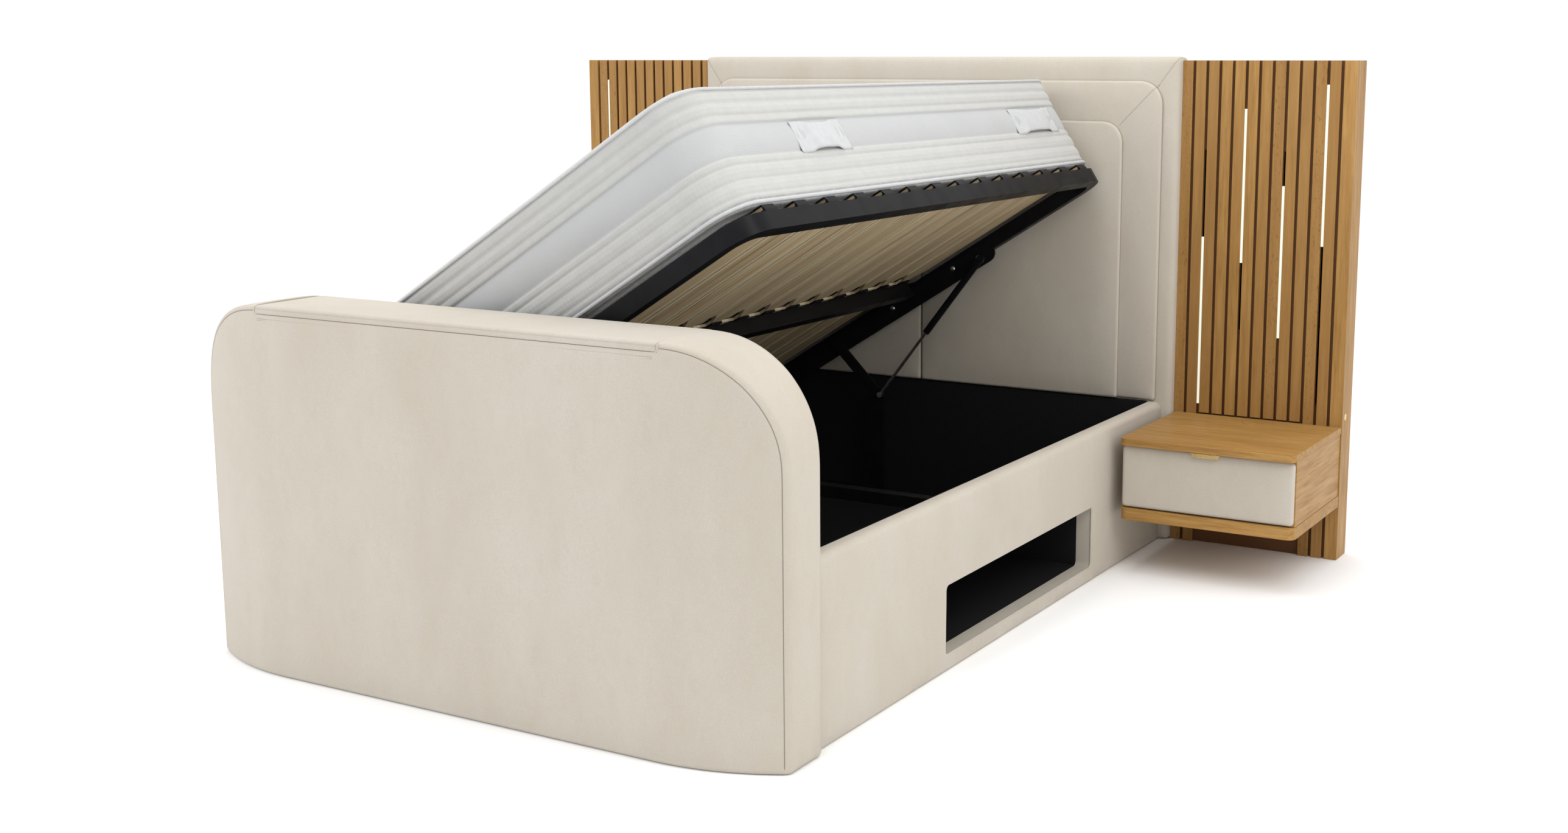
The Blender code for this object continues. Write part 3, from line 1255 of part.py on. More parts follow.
def strut_cylinder(end, suffix, pivot):
    """The upper half of a gas strut: an eye on the arm's stud and a bored cylinder towards the base."""
    middle = end * STRUT_LAYER
    bm = bmesh.new()
    profile = [(EYE_RADIUS / 2, CYLINDER_RADIUS), (CYLINDER_LENGTH, CYLINDER_RADIUS)]
    add_turned(bm, (middle, 0), profile, along_x)
    cylinder = mesh_object(f"strut_cylinder_{suffix}", bm, BLACK_STEEL, pivot, smooth=True)
    eye = bmesh.new()
    half = EYE_THICKNESS / 2
    add_turned(eye, (0, 0), [(middle - half, EYE_RADIUS), (middle + half, EYE_RADIUS)], along_y)
    join(cylinder, eye)
    stud_hole = bmesh.new()
    radius = STUD_RADIUS + PIN_CLEARANCE
    span = [(middle - CYLINDER_RADIUS - OVERRUN, radius), (middle + CYLINDER_RADIUS + OVERRUN, radius)]
    add_turned(stud_hole, (0, 0), span, along_y)
    cut(cylinder, stud_hole)
    bore = bmesh.new()
    bore_start = EYE_RADIUS + CYLINDER_END_WALL
    radius = CYLINDER_BORE_RADIUS
    add_turned(bore, (middle, 0), [(bore_start, radius), (CYLINDER_LENGTH + OVERRUN, radius)], along_x)
    cut(cylinder, bore)


def strut_rod(end, suffix, slide):
    """The lower half of a gas strut: a rod, and a ball end whose pin stops short of the bracket's ear."""
    middle = end * STRUT_LAYER
    bm = bmesh.new()
    add_turned(bm, (middle, 0), [(-ROD_LENGTH, ROD_RADIUS), (-BALL_RADIUS / 2, ROD_RADIUS)], along_x)
    rod = mesh_object(f"strut_rod_{suffix}", bm, BARE_STEEL, slide, smooth=True)
    ball = bmesh.new()
    half = BALL_THICKNESS / 2
    profile = [
        (end * (STRUT_LAYER - half), BALL_RADIUS),
        (end * (STRUT_LAYER + half), BALL_RADIUS),
        (end * (STRUT_LAYER + half), BALL_PIN_RADIUS),
        (end * (EAR_INNER_FACE - 2 * GAP), BALL_PIN_RADIUS),
    ]
    add_turned(ball, (0, 0), profile, along_y)
    join(rod, ball)


# The whole bed


def clear_scene():
    for obj in list(bpy.data.objects):
        bpy.data.objects.remove(obj)


def moving_parts():
    """The pivots and slides, from the base outwards, with the pieces that each one carries."""
    lid = empty("tv_lid_axis", lid_axis())
    tv_lid(lid)
    stage = empty("tv_lift_stage_slide", (0, 0, 0))
    head = empty("tv_lift_head_slide", (0, 0, 0), stage)
    tv_lift(stage, head)

    place = (MAIN_BASE[0], PLATFORM_MIDDLE, MAIN_BASE[1])
    main = empty("main_link_pivot", place, None, MAIN_LINK_ANGLE)
    place = (SECOND_BASE[0], PLATFORM_MIDDLE, SECOND_BASE[1])
    second = empty("second_link_pivot", place, None, SECOND_LINK_ANGLE)
    platform = empty("platform_pivot", (MAIN_LINK_LENGTH, 0, 0), main, OPEN_TILT - MAIN_LINK_ANGLE)
    frame = empty("platform_frame", (-MAIN_PIVOT[0], 0, -MAIN_PIVOT[1]), platform)
    strut = empty("strut_pivot", (STRUT_PIVOT[0], 0, STRUT_PIVOT[1]), frame, STRUT_ANGLE)
    rod = empty("strut_rod_slide", (STRUT_OPEN_LENGTH, 0, 0), strut)

    platform_frame_tubes(frame)
    slat_set("slats_left", LEFT, frame)
    slat_set("slats_right", RIGHT, frame)
    mattress(frame)
    for end, suffix in ((HEAD_END, "head"), (FOOT_END, "foot")):
        lift_bracket(end, suffix)
        lift_links(end, suffix, main, second)
        lift_arm(end, suffix, frame)
        strut_cylinder(end, suffix, strut)
        strut_rod(end, suffix, rod)


def build():
    clear_scene()
    footboard_shell()
    footboard_back_panel()
    lid_hinge()
    side_rails()
    media_niche_box()
    storage_base()
    headboard()
    for side, suffix in ((LEFT, "left"), (RIGHT, "right")):
        wing(side, suffix)
        nightstand(side, suffix)
    moving_parts()


build()
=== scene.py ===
"""Looks of the side-lift ottoman bed: upholstery, oak, steel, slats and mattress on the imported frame."""

import json
import math

import bmesh
import bpy
import numpy as np
from mathutils import Matrix, Vector, noise

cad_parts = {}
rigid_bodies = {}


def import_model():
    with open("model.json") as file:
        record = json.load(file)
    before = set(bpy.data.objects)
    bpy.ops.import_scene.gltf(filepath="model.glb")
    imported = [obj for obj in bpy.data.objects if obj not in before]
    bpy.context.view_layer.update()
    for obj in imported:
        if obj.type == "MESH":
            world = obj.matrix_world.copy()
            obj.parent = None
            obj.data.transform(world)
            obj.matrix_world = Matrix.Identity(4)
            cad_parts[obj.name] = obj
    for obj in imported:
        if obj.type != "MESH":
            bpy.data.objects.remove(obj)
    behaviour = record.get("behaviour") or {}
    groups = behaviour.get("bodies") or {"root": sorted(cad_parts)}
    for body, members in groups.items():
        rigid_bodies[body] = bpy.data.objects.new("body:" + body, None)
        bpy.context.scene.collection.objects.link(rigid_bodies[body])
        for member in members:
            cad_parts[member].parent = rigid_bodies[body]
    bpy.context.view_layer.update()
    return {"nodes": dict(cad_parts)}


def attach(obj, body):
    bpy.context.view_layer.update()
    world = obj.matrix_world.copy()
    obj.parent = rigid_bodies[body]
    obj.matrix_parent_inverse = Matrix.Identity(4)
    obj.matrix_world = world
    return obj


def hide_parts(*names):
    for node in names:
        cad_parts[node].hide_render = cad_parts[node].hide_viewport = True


for old in list(bpy.data.objects):
    bpy.data.objects.remove(old)
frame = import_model()
NODES = frame["nodes"]

# Footboard and its lid, in metres as everything here
FRONT = -1.218
WELL_START = -1.0
LEDGE = 0.9
FOOTBOARD_HALF = 0.857
FOOTBOARD_TOP = 0.922
FLAT_HALF = 0.557
FOOTBOARD_SETBACK = 0.085
FOOTBOARD_WALL = 0.045
LID_HALF = 0.589
LID_FRONT_WALL = 0.035
LID_THICKNESS = 0.0217

# Side rails and the opening in the right one
RAIL_INNER = 0.79
RAIL_OUTER = 0.838
RAIL_TOP = 0.441
RAIL_START, RAIL_END = -0.9997, 1.0917
NICHE_START, NICHE_END = -0.383, 0.546
NICHE_BOTTOM, NICHE_TOP = 0.042, 0.2235

# Headboard pads, and the drawer fronts beside it
BORDER_HALF = 0.869
BORDER_MIDDLE = 0.753
BORDER_FRONT, BORDER_BACK = 1.092, 1.167
PANEL_BOTTOM = 0.445
MID_HALF, MID_TOP = 0.82, 1.434
MID_FRONT, MID_BACK = 1.077, 1.0917
INNER_START, INNER_END, INNER_TOP = 0.001, 0.698, 1.31
INNER_FRONT, INNER_BACK = 1.062, 1.0767
DRAWER_HALF = (0.2565, 0.092)
DRAWER_FRONT, DRAWER_BACK = 0.664, 0.689
DRAWER_MIDDLE = (1.137, 0.296)

# Lifted platform, mattress and slats
TILT = math.radians(32)
ALONG = Vector((math.cos(TILT), 0, math.sin(TILT)))
UP = Vector((-math.sin(TILT), 0, math.cos(TILT)))
PLATFORM = Matrix.Translation((-0.641, 0.038, 0.373)) @ Matrix.Rotation(-TILT, 4, "Y")
PLATFORM_MIDDLE = 0.038
SLAT_START = 0.907
SLAT_PITCH = 0.135
MATTRESS_HALF = (0.75, 1.0)
MATTRESS_BASE = 0.0183
MATTRESS_THICKNESS = 0.315
MATTRESS_MIDDLE = 0.753
MATTRESS_CORNER = 0.1

# Wings: slats, the shade of their grooves, and what of a light bar or seam faces the room
WING_INNER = 0.8693
WING_PITCH = (1.3613 - WING_INNER) / 12
GROOVE_SHADE = (1.1205, 1.1285)
WING_BACK = 1.148
LENS_BACK = 1.132
SEAM_BEHIND = 1.14


# Materials


class Surface:
    """A procedural material: a Principled shader and the nodes that feed it."""

    def __init__(self, name, **settings):
        self.material = bpy.data.materials.new(name)
        self.material.use_nodes = True
        self.tree = self.material.node_tree
        self.tree.nodes.clear()
        output = self.tree.nodes.new("ShaderNodeOutputMaterial")
        self.shader = self.tree.nodes.new("ShaderNodeBsdfPrincipled")
        self.tree.links.new(self.shader.outputs["BSDF"], output.inputs["Surface"])
        self.set(**settings)
        self.place = self.tree.nodes.new("ShaderNodeTexCoord").outputs["Object"]

    def set(self, **settings):
        for key, value in settings.items():
            self.feed(self.shader.inputs[key.replace("_", " ")], value)

    def feed(self, socket, value):
        if isinstance(value, bpy.types.NodeSocket):
            self.tree.links.new(value, socket)
        elif isinstance(value, tuple) and len(value) == 3 and socket.type == "RGBA":
            socket.default_value = (*value, 1)
        else:
            socket.default_value = value

    def node(self, kind, inputs, **settings):
        """A new node of this kind, with its settings made and its inputs fed."""
        node = self.tree.nodes.new("ShaderNode" + kind)
        for key, value in settings.items():
            setattr(node, key, value)
        for key, value in inputs.items():
            self.feed(node.inputs[key], value)
        return node

    def stretched(self, scale, vector=None):
        return self.node("Mapping", {"Vector": vector or self.place, "Scale": scale}).outputs["Vector"]

    def noise(self, scale, vector=None, detail=2, roughness=0.5, distortion=0):
        inputs = {"Vector": vector or self.place, "Scale": scale, "Detail": detail}
        inputs |= {"Roughness": roughness, "Distortion": distortion}
        return self.node("TexNoise", inputs).outputs["Fac"]

    def voronoi(self, scale, vector=None, randomness=1.0):
        inputs = {"Vector": vector or self.place, "Scale": scale, "Randomness": randomness}
        return self.node("TexVoronoi", inputs).outputs["Distance"]

    def ramp(self, value, *stops):
        node = self.node("ValToRGB", {"Fac": value})
        elements = node.color_ramp.elements
        while len(elements) < len(stops):
            elements.new(0.5)
        for element, (position, colour) in zip(elements, stops):
            element.position = position
            element.color = (*colour, 1)
        return node.outputs["Color"]

    def ease(self, value, low, high, at_low=0.0, at_high=1.0):
        """Goes smoothly from at_low to at_high while the value goes from low to high."""
        inputs = {"Value": value, "From Min": low, "From Max": high, "To Min": at_low, "To Max": at_high}
        return self.node("MapRange", inputs, interpolation_type="SMOOTHSTEP").outputs["Result"]

    def math(self, operation, a, b=0.0):
        return self.node("Math", {0: a, 1: b}, operation=operation).outputs[0]

    def plus(self, a, b):
        return self.math("ADD", a, b)

    def minus(self, a, b):
        return self.math("SUBTRACT", a, b)

    def times(self, a, b):
        return self.math("MULTIPLY", a, b)

    def wave(self, value, pitch):
        return self.math("SINE", self.times(value, 2 * math.pi / pitch))

    def blend(self, share, a, b):
        return self.node("Mix", {0: share, 6: a, 7: b}, data_type="RGBA").outputs[2]

    def axes(self, vector=None):
        outputs = self.node("SeparateXYZ", {0: vector or self.place}).outputs
        return outputs["X"], outputs["Y"], outputs["Z"]

    def border(self):
        """The distance round the mattress's border, and the way down it."""
        return self.axes(self.node("UVMap", {}, uv_map="border").outputs["UV"])[:2]

    def joined(self, x, y, z):
        return self.node("CombineXYZ", {"X": x, "Y": y, "Z": z}).outputs[0]

    def dot(self, axis):
        inputs = {0: self.place, 1: tuple(axis)}
        return self.node("VectorMath", inputs, operation="DOT_PRODUCT").outputs["Value"]

    def chance(self, number):
        return self.node("TexWhiteNoise", {"W": number}, noise_dimensions="1D").outputs["Value"]

    def bump(self, height, distance, strength=1.0, normal=None):
        inputs = {"Height": height, "Distance": distance, "Strength": strength}
        if normal:
            inputs["Normal"] = normal
        return self.node("Bump", inputs).outputs["Normal"]


def plush(name, seams=()):
    """Short-napped cream plush, blotchy where the nap lies over.

    Each seam is a line from (x, z) to (x, z), mirrored to the other side, and drawn on the front only, as a
    dent with a thin line of painted shade. The cover also gets painted shade where the pad marks folds and
    sewn grooves.
    """
    s = Surface(name, Roughness=0.92, Specular_IOR_Level=0.2)
    s.set(Sheen_Weight=0.16, Sheen_Roughness=0.45, Sheen_Tint=(1, 0.97, 0.93))
    clouds = s.noise(4.5, s.stretched((1, 1, 0.45)), detail=5, roughness=0.62, distortion=0.3)
    nap = ((0.3, (0.463, 0.42, 0.354)), (0.52, (0.488, 0.448, 0.385)), (0.74, (0.512, 0.474, 0.415)))
    base = s.ramp(clouds, *nap)
    smudges = s.noise(30, s.stretched((1, 1, 0.5)), detail=4, roughness=0.6)
    base = s.blend(s.ease(smudges, 0.5, 0.72, 0, 0.2), base, (0.44, 0.385, 0.312))
    pile = s.noise(480, detail=2, roughness=0.75)
    base = s.blend(s.ease(pile, 0.38, 0.64, 0, 0.3), base, (0.375, 0.33, 0.27))
    base = s.blend(s.ease(pile, 0.42, 0.2, 0, 0.3), base, (0.62, 0.585, 0.53))
    normal = s.bump(clouds, 0.004, 0.35)
    normal = s.bump(smudges, 0.0012, 0.5, normal)
    normal = s.bump(pile, 0.0006, 0.55, normal)
    x, y, z = s.axes()
    sideways = s.math("ABSOLUTE", x)
    front = s.math("LESS_THAN", y, SEAM_BEHIND)
    for (x0, z0), (x1, z1) in seams:
        length = math.hypot(x1 - x0, z1 - z0)
        ux, uz = (x1 - x0) / length, (z1 - z0) / length
        dx, dz = s.minus(sideways, x0), s.minus(z, z0)
        along = s.plus(s.times(dx, ux), s.times(dz, uz))
        across = s.minus(s.times(dx, uz), s.times(dz, ux))
        begun = s.ease(along, -0.002, 0.001)
        ended = s.ease(along, length - 0.001, length + 0.002, 1, 0)
        inside = s.times(s.times(begun, ended), front)
        away = s.math("ABSOLUTE", across)
        # Painted shade: a thin dark line along the seam, beside its dented bump.
        line = s.times(s.ease(away, 0.0004, 0.0016, 1, 0), inside)
        dip = s.times(s.ease(away, 0.0, 0.0055, 1, 0), inside)
        base = s.blend(s.times(line, 0.48), base, (0.2, 0.165, 0.12))
        normal = s.bump(s.minus(1.0, dip), 0.0018, 0.7, normal)
    # Painted shade where the pad marks folds and sewn grooves.
    crease = s.node("Attribute", {}, attribute_name="crease").outputs["Fac"]
    base = s.blend(s.ease(crease, 0.25, 1.0, 0, 0.8), base, (0.12, 0.095, 0.068))
    s.set(Base_Color=base, Normal=normal)
    return s.material


def oak(name, grain, wing=False):
    """Oak veneer with its grain along one axis.

    On a wing each slat is its own cut of veneer, and the grooves get painted shade, darker the deeper they
    go.
    """
    s = Surface(name, Coat_Weight=0.02, Coat_Roughness=0.35, Specular_IOR_Level=0.2)
    x, y, z = s.axes()
    place = s.place
    board = None
    if wing:
        outward = s.minus(s.math("ABSOLUTE", x), WING_INNER)
        count = s.math("FLOOR", s.math("DIVIDE", outward, WING_PITCH))
        side = s.times(s.math("GREATER_THAN", x, 0.0), 31.0)
        board = s.plus(count, side)
        shift = s.times(s.chance(board), 9.0)
        place = s.joined(s.plus(x, shift), y, s.plus(z, s.times(shift, 1.7)))
    squeeze = {"X": (0.06, 1, 1), "Y": (1, 0.06, 1), "Z": (1, 1, 0.06)}[grain]
    fine_squeeze = tuple(0.018 if part < 1 else 1 for part in squeeze)
    fibres = s.noise(95, s.stretched(squeeze, place), detail=5, roughness=0.62, distortion=0.25)
    wood = ((0.28, (0.243, 0.12, 0.03)), (0.48, (0.343, 0.185, 0.053)), (0.72, (0.432, 0.248, 0.08)))
    base = s.ramp(fibres, *wood)
    figure = s.noise(11, s.stretched(squeeze, place), detail=3, roughness=0.5, distortion=1.4)
    base = s.blend(s.ease(figure, 0.42, 0.68, 0, 0.45), base, (0.25, 0.12, 0.03))
    pores = s.noise(900, s.stretched(fine_squeeze, place), detail=1)
    base = s.blend(s.ease(pores, 0.58, 0.72, 0, 0.42), base, (0.12, 0.053, 0.014))
    broad = s.noise(2.3, place, detail=2)
    base = s.blend(s.ease(broad, 0.3, 0.7, 0, 0.22), base, (0.38, 0.222, 0.078))
    if wing:
        tint = s.chance(s.plus(board, 0.5))
        base = s.blend(s.ease(tint, 0.0, 1.0, 0, 0.5), base, (0.255, 0.13, 0.04))
        flecks = s.noise(210, s.stretched((1, 1, 0.35), place), detail=2, distortion=0.8)
        marked = s.ease(s.chance(s.plus(board, 0.25)), 0.8, 0.84)
        flecked = s.times(s.ease(flecks, 0.6, 0.66, 0, 0.5), marked)
        base = s.blend(flecked, base, (0.13, 0.065, 0.022))
        knots = s.voronoi(3.2, s.stretched((2.0, 1, 0.8), place))
        base = s.blend(s.ease(knots, 0.02, 0.052, 0.75, 0), base, (0.1, 0.042, 0.014))
        # Painted shade: the grooves between the wing slats darken towards their floor.
        painted_groove_shade = s.times(s.ease(y, *GROOVE_SHADE), s.math("LESS_THAN", y, WING_BACK))
        base = s.blend(painted_groove_shade, base, (0.115, 0.05, 0.018))
    normal = s.bump(fibres, 0.0006, 0.22)
    normal = s.bump(pores, 0.0004, 0.3, normal)
    s.set(Base_Color=base, Normal=normal, Roughness=s.ease(fibres, 0.3, 0.7, 0.52, 0.4))
    return s.material


def birch(name):
    """Lacquered birch slats: each its own board, with grey-brown streaks and paler edges that are a painted
    highlight.
    """
    s = Surface(name, Coat_Weight=0.1, Coat_Roughness=0.4)
    along, across, up = s.dot(ALONG), s.dot((0, 1, 0)), s.dot(UP)
    row = s.math("DIVIDE", s.plus(across, SLAT_START), SLAT_PITCH)
    board = s.math("FLOOR", row)
    shift = s.times(s.chance(board), 5.0)
    place = s.joined(s.plus(along, shift), s.plus(across, shift), up)
    grain = s.noise(60, s.stretched((0.045, 1, 1), place), detail=6, roughness=0.66, distortion=0.5)
    wood = ((0.3, (0.33, 0.225, 0.11)), (0.47, (0.56, 0.435, 0.255)), (0.7, (0.72, 0.595, 0.385)))
    base = s.ramp(grain, *wood)
    streaks = s.noise(24, s.stretched((0.035, 1, 1), place), detail=3, roughness=0.6, distortion=0.9)
    base = s.blend(s.ease(streaks, 0.54, 0.66, 0, 0.75), base, (0.22, 0.135, 0.055))
    tint = s.chance(s.plus(board, 0.5))
    base = s.blend(s.ease(tint, 0.0, 1.0, 0, 0.45), base, (0.36, 0.265, 0.145))
    # Painted highlight: the long edges of each slat are lightened.
    edge = s.ease(s.math("ABSOLUTE", s.minus(s.math("FRACT", row), 0.5)), 0.345, 0.405)
    base = s.blend(s.times(edge, 0.75), base, (0.78, 0.68, 0.48))
    s.set(Base_Color=base, Roughness=s.ease(grain, 0.3, 0.7, 0.58, 0.44), Normal=s.bump(grain, 0.0005, 0.3))
    return s.material


def felt(name):
    """Black lining cloth with a fine fuzz."""
    s = Surface(name, Roughness=0.97, Specular_IOR_Level=0.15)
    fuzz = s.noise(700, detail=3, roughness=0.75)
    base = s.ramp(fuzz, (0.35, (0.0065, 0.0065, 0.0072)), (0.7, (0.0135, 0.0135, 0.0145)))
    s.set(Base_Color=base, Normal=s.bump(fuzz, 0.0006, 0.5))
    return s.material


def powder_coat(name):
    """Black powder coat: a fine orange peel, a little duller in places."""
    s = Surface(name, Coat_Weight=0.02, Coat_Roughness=0.22, Specular_IOR_Level=0.09)
    peel = s.noise(330, detail=2)
    wear = s.noise(18, detail=3)
    s.set(Roughness=s.ease(wear, 0.35, 0.7, 0.34, 0.46), Normal=s.bump(peel, 0.0003, 0.16))
    s.set(Base_Color=s.ramp(wear, (0.3, (0.0055, 0.0055, 0.0065)), (0.75, (0.0085, 0.0085, 0.01))))
    return s.material


def brushed(name, colour, worn, roughness, grain=(1, 1, 0.04)):
    """Bare metal with fine drawn lines."""
    s = Surface(name, Metallic=1.0)
    lines = s.noise(1400, s.stretched(grain), detail=2)
    clouds = s.noise(30, detail=3)
    s.set(
        Base_Color=s.blend(s.ease(clouds, 0.35, 0.7), colour, worn),
        Roughness=s.ease(lines, 0.3, 0.7, roughness, roughness + 0.12),
        Normal=s.bump(lines, 0.0001, 0.25),
    )
    return s.material


def lit_lens(name):
    """The frosted cover of a lit bar, and the dark feed behind it."""
    s = Surface(name, Roughness=0.5, Emission_Strength=0.72)
    soft = s.noise(4, detail=2)
    y = s.axes()[1]
    body = s.math("GREATER_THAN", y, LENS_BACK)
    white = s.ramp(soft, (0.3, (0.32, 0.32, 0.26)), (0.7, (0.36, 0.365, 0.31)))
    glow = s.ramp(soft, (0.35, (1.0, 0.97, 0.8)), (0.65, (0.9, 0.98, 0.86)))
    s.set(Base_Color=s.blend(body, white, (0.02, 0.02, 0.021)), Emission_Color=s.blend(body, glow, (0, 0, 0)))
    return s.material


def knit(name, base_low, base_high, tucks=True):
    """Cream stretch knit: small loops, and on the border tuck lines that run round it, with painted shade in
    their grooves.
    """
    s = Surface(name, Roughness=0.88, Sheen_Weight=0.15, Sheen_Roughness=0.5)
    loops = s.voronoi(420, randomness=0.55)
    quilt = s.noise(34, detail=3, roughness=0.6)
    base = s.blend(s.ease(quilt, 0.35, 0.7), base_low, base_high)
    base = s.blend(s.ease(loops, 0.25, 0.75, 0, 0.1), base, (0.42, 0.412, 0.378))
    normal = s.bump(quilt, 0.0018, 0.4)
    normal = s.bump(loops, 0.0005, 0.4, normal)
    if tucks:
        around, height = s.border()
        wander = s.times(s.minus(s.noise(9, detail=2), 0.5), 0.006)
        wave = s.wave(s.plus(height, wander), 0.0125)
        ridges = s.ease(wave, -1.0, 0.2)
        pulls = s.wave(around, 0.011)
        # Painted shade in the grooves between the tuck ridges.
        base = s.blend(s.ease(wave, -1.0, -0.55, 0.3, 0), base, (0.42, 0.407, 0.361))
        normal = s.bump(ridges, 0.0008, 0.35, normal)
        normal = s.bump(pulls, 0.0004, 0.25, normal)
    s.set(Base_Color=base, Normal=normal)
    return s.material


def spacer_mesh(name):
    """Grey-white spacer fabric with a grid of small open holes, painted darker inside as shade."""
    s = Surface(name, Roughness=0.8, Sheen_Weight=0.1)
    around, height = s.border()
    across, down = (s.wave(way, 0.0072) for way in (s.plus(around, height), s.minus(around, height)))
    holes = s.ease(s.times(across, down), 0.3, 0.75)
    cloth = s.ramp(s.noise(9, detail=2), (0.3, (0.424, 0.429, 0.433)), (0.7, (0.441, 0.446, 0.449)))
    # Painted shade inside the open holes.
    base = s.blend(s.times(holes, 0.5), cloth, (0.302, 0.309, 0.315))
    s.set(Base_Color=base, Normal=s.bump(s.minus(1.0, holes), 0.0009, 0.6))
    return s.material


def tape(name, low, high, pitch=0.0016):
    """Woven tape, cloth or thread with a fine diagonal rib."""
    s = Surface(name, Roughness=0.75, Sheen_Weight=0.1)
    x, y, z = s.axes()
    ribs = s.wave(s.plus(s.plus(y, x), z), pitch)
    shade = s.noise(60, detail=3)
    base = s.blend(s.ease(shade, 0.35, 0.7), low, high)
    base = s.blend(s.ease(ribs, -1, 0, 0.12, 0), base, (0.5, 0.5, 0.5))
    s.set(Base_Color=base, Normal=s.bump(ribs, 0.0003, 0.5))
    return s.material


PLUSH = plush("plush_cover")
MITRES = [((0.867, 1.504), (0.803, 1.417)), ((0.804, 1.418), (0.684, 1.296))]
PLUSH_HEAD = plush("plush_cover_mitred", MITRES)
OAK_WING = oak("oak_slats", "Z", wing=True)
OAK_TALL = oak("oak_upright", "Z")
OAK_WIDE = oak("oak_crosswise", "X")
OAK_DEEP = oak("oak_lengthwise", "Y")
BIRCH = birch("birch_slat")
FELT = felt("black_felt")
BLACK = powder_coat("black_powder_coat")
STEEL = brushed("zinc_steel", (0.56, 0.565, 0.57), (0.48, 0.485, 0.49), 0.26)
BRASS = brushed("satin_brass", (0.8, 0.585, 0.26), (0.7, 0.49, 0.2), 0.24, (0.04, 1, 1))
LENS = lit_lens("lit_bar")
KNIT_TOP = knit("knit_top", (0.437, 0.438, 0.428), (0.46, 0.461, 0.454), tucks=False)
KNIT_BAND = knit("knit_border", (0.424, 0.425, 0.412), (0.445, 0.447, 0.437))
MESH_BAND = spacer_mesh("spacer_mesh")
UNDERSIDE = tape("mattress_base_cloth", (0.353, 0.361, 0.361), (0.42, 0.424, 0.42), 0.004)
PIPING = tape("mattress_piping", (0.491, 0.496, 0.497), (0.521, 0.525, 0.527))
HANDLE = tape("handle_webbing", (0.475, 0.483, 0.491), (0.504, 0.512, 0.519))
THREAD = tape("seam_thread", (0.27, 0.225, 0.165), (0.35, 0.3, 0.23), 0.0006)

FINISHES = {
    "oak": OAK_WIDE,
    "felt_board": FELT,
    "black_steel": BLACK,
    "bare_steel": STEEL,
    "brass": BRASS,
    "birch": BIRCH,
    "led_lens": LENS,
    "plush": PLUSH,
    "ticking": KNIT_TOP,
}
SPECIAL = {
    "wing_panel": OAK_WING,
    "wing_side_board": OAK_TALL,
    "nightstand_frame": OAK_DEEP,
    "drawer_box": OAK_DEEP,
}
for name, node in NODES.items():
    for part in node.material_slots:
        finish = FINISHES[part.material.name.split(".")[0]]
        part.material = SPECIAL.get(name.rsplit("_", 1)[0], finish)


WELD_DISTANCE = 2e-5
GENTLE_TURN = math.radians(32)
SHARP_TURN = math.radians(40)
OAK_EDGE = 0.0009
STEEL_EDGE = 0.0006


def rounded_shading():
    """Node modifier for the CAD parts: joins their corners, and shades what turns gently as smooth."""
    tree = bpy.data.node_groups.new("rounded_shading", "GeometryNodeTree")
    for way in ("INPUT", "OUTPUT"):
        tree.interface.new_socket("Geometry", in_out=way, socket_type="NodeSocketGeometry")
    start, end = tree.nodes.new("NodeGroupInput"), tree.nodes.new("NodeGroupOutput")
    weld = tree.nodes.new("GeometryNodeMergeByDistance")
    weld.inputs["Distance"].default_value = WELD_DISTANCE
    faces, edges = (tree.nodes.new("GeometryNodeSetShadeSmooth") for _ in range(2))
    edges.domain = "EDGE"
    angle = tree.nodes.new("GeometryNodeInputMeshEdgeAngle")
    gentle = tree.nodes.new("FunctionNodeCompare")
    gentle.operation = "LESS_THAN"
    gentle.inputs["B"].default_value = GENTLE_TURN
    tree.links.new(angle.outputs["Unsigned Angle"], gentle.inputs["A"])
    tree.links.new(gentle.outputs["Result"], edges.inputs["Shade Smooth"])
    for a, b in ((start, weld), (weld, faces), (faces, edges), (edges, end)):
        tree.links.new(a.outputs[0], b.inputs[0])
    return tree


ROUNDED = rounded_shading()
EDGES = {OAK_WIDE: OAK_EDGE, OAK_WING: OAK_EDGE, OAK_TALL: OAK_EDGE, OAK_DEEP: OAK_EDGE, BLACK: STEEL_EDGE}
for node in NODES.values():
    modifier = node.modifiers.new("rounded_shading", "NODES")
    modifier.node_group = ROUNDED
    finish = node.material_slots[0].material
    if finish in EDGES:
        edge = node.modifiers.new("edge", "BEVEL")
        edge.limit_method = "ANGLE"
        edge.angle_limit = SHARP_TURN
        edge.width = EDGES[finish]
        edge.segments = 2


# Mesh tools


def piece(name, bm, *materials):
    """A smooth-shaded object of this mesh, in the row frame."""
    bmesh.ops.recalc_face_normals(bm, faces=bm.faces)
    mesh = bpy.data.meshes.new(name)
    bm.to_mesh(mesh)
    bm.free()
    mesh.shade_smooth()
    for material in materials:
        mesh.materials.append(material)
    obj = bpy.data.objects.new(name, mesh)
    bpy.context.scene.collection.objects.link(obj)
    return obj


def subdivide(obj):
    modifier = obj.modifiers.new("subdivision", "SUBSURF")
    modifier.levels = 1
    modifier.render_levels = 1


def settle(obj):
    """Applies the object's modifiers and keeps its edges crisp where they turn sharply."""
    bpy.context.view_layer.update()
    graph = bpy.context.evaluated_depsgraph_get()
    mesh = bpy.data.meshes.new_from_object(obj.evaluated_get(graph))
    obj.modifiers.clear()
    obj.data = mesh
    mesh.shade_smooth()
    mesh.set_sharp_from_angle(angle=SHARP_TURN)


def cut(obj, bm):
    """Takes the closed shape bm out of the object."""
    cutter = piece(obj.name + "_cutter", bm)
    modifier = obj.modifiers.new("cut", "BOOLEAN")
    modifier.operation = "DIFFERENCE"
    modifier.solver = "EXACT"
    modifier.object = cutter
    settle(obj)
    bpy.data.objects.remove(cutter)


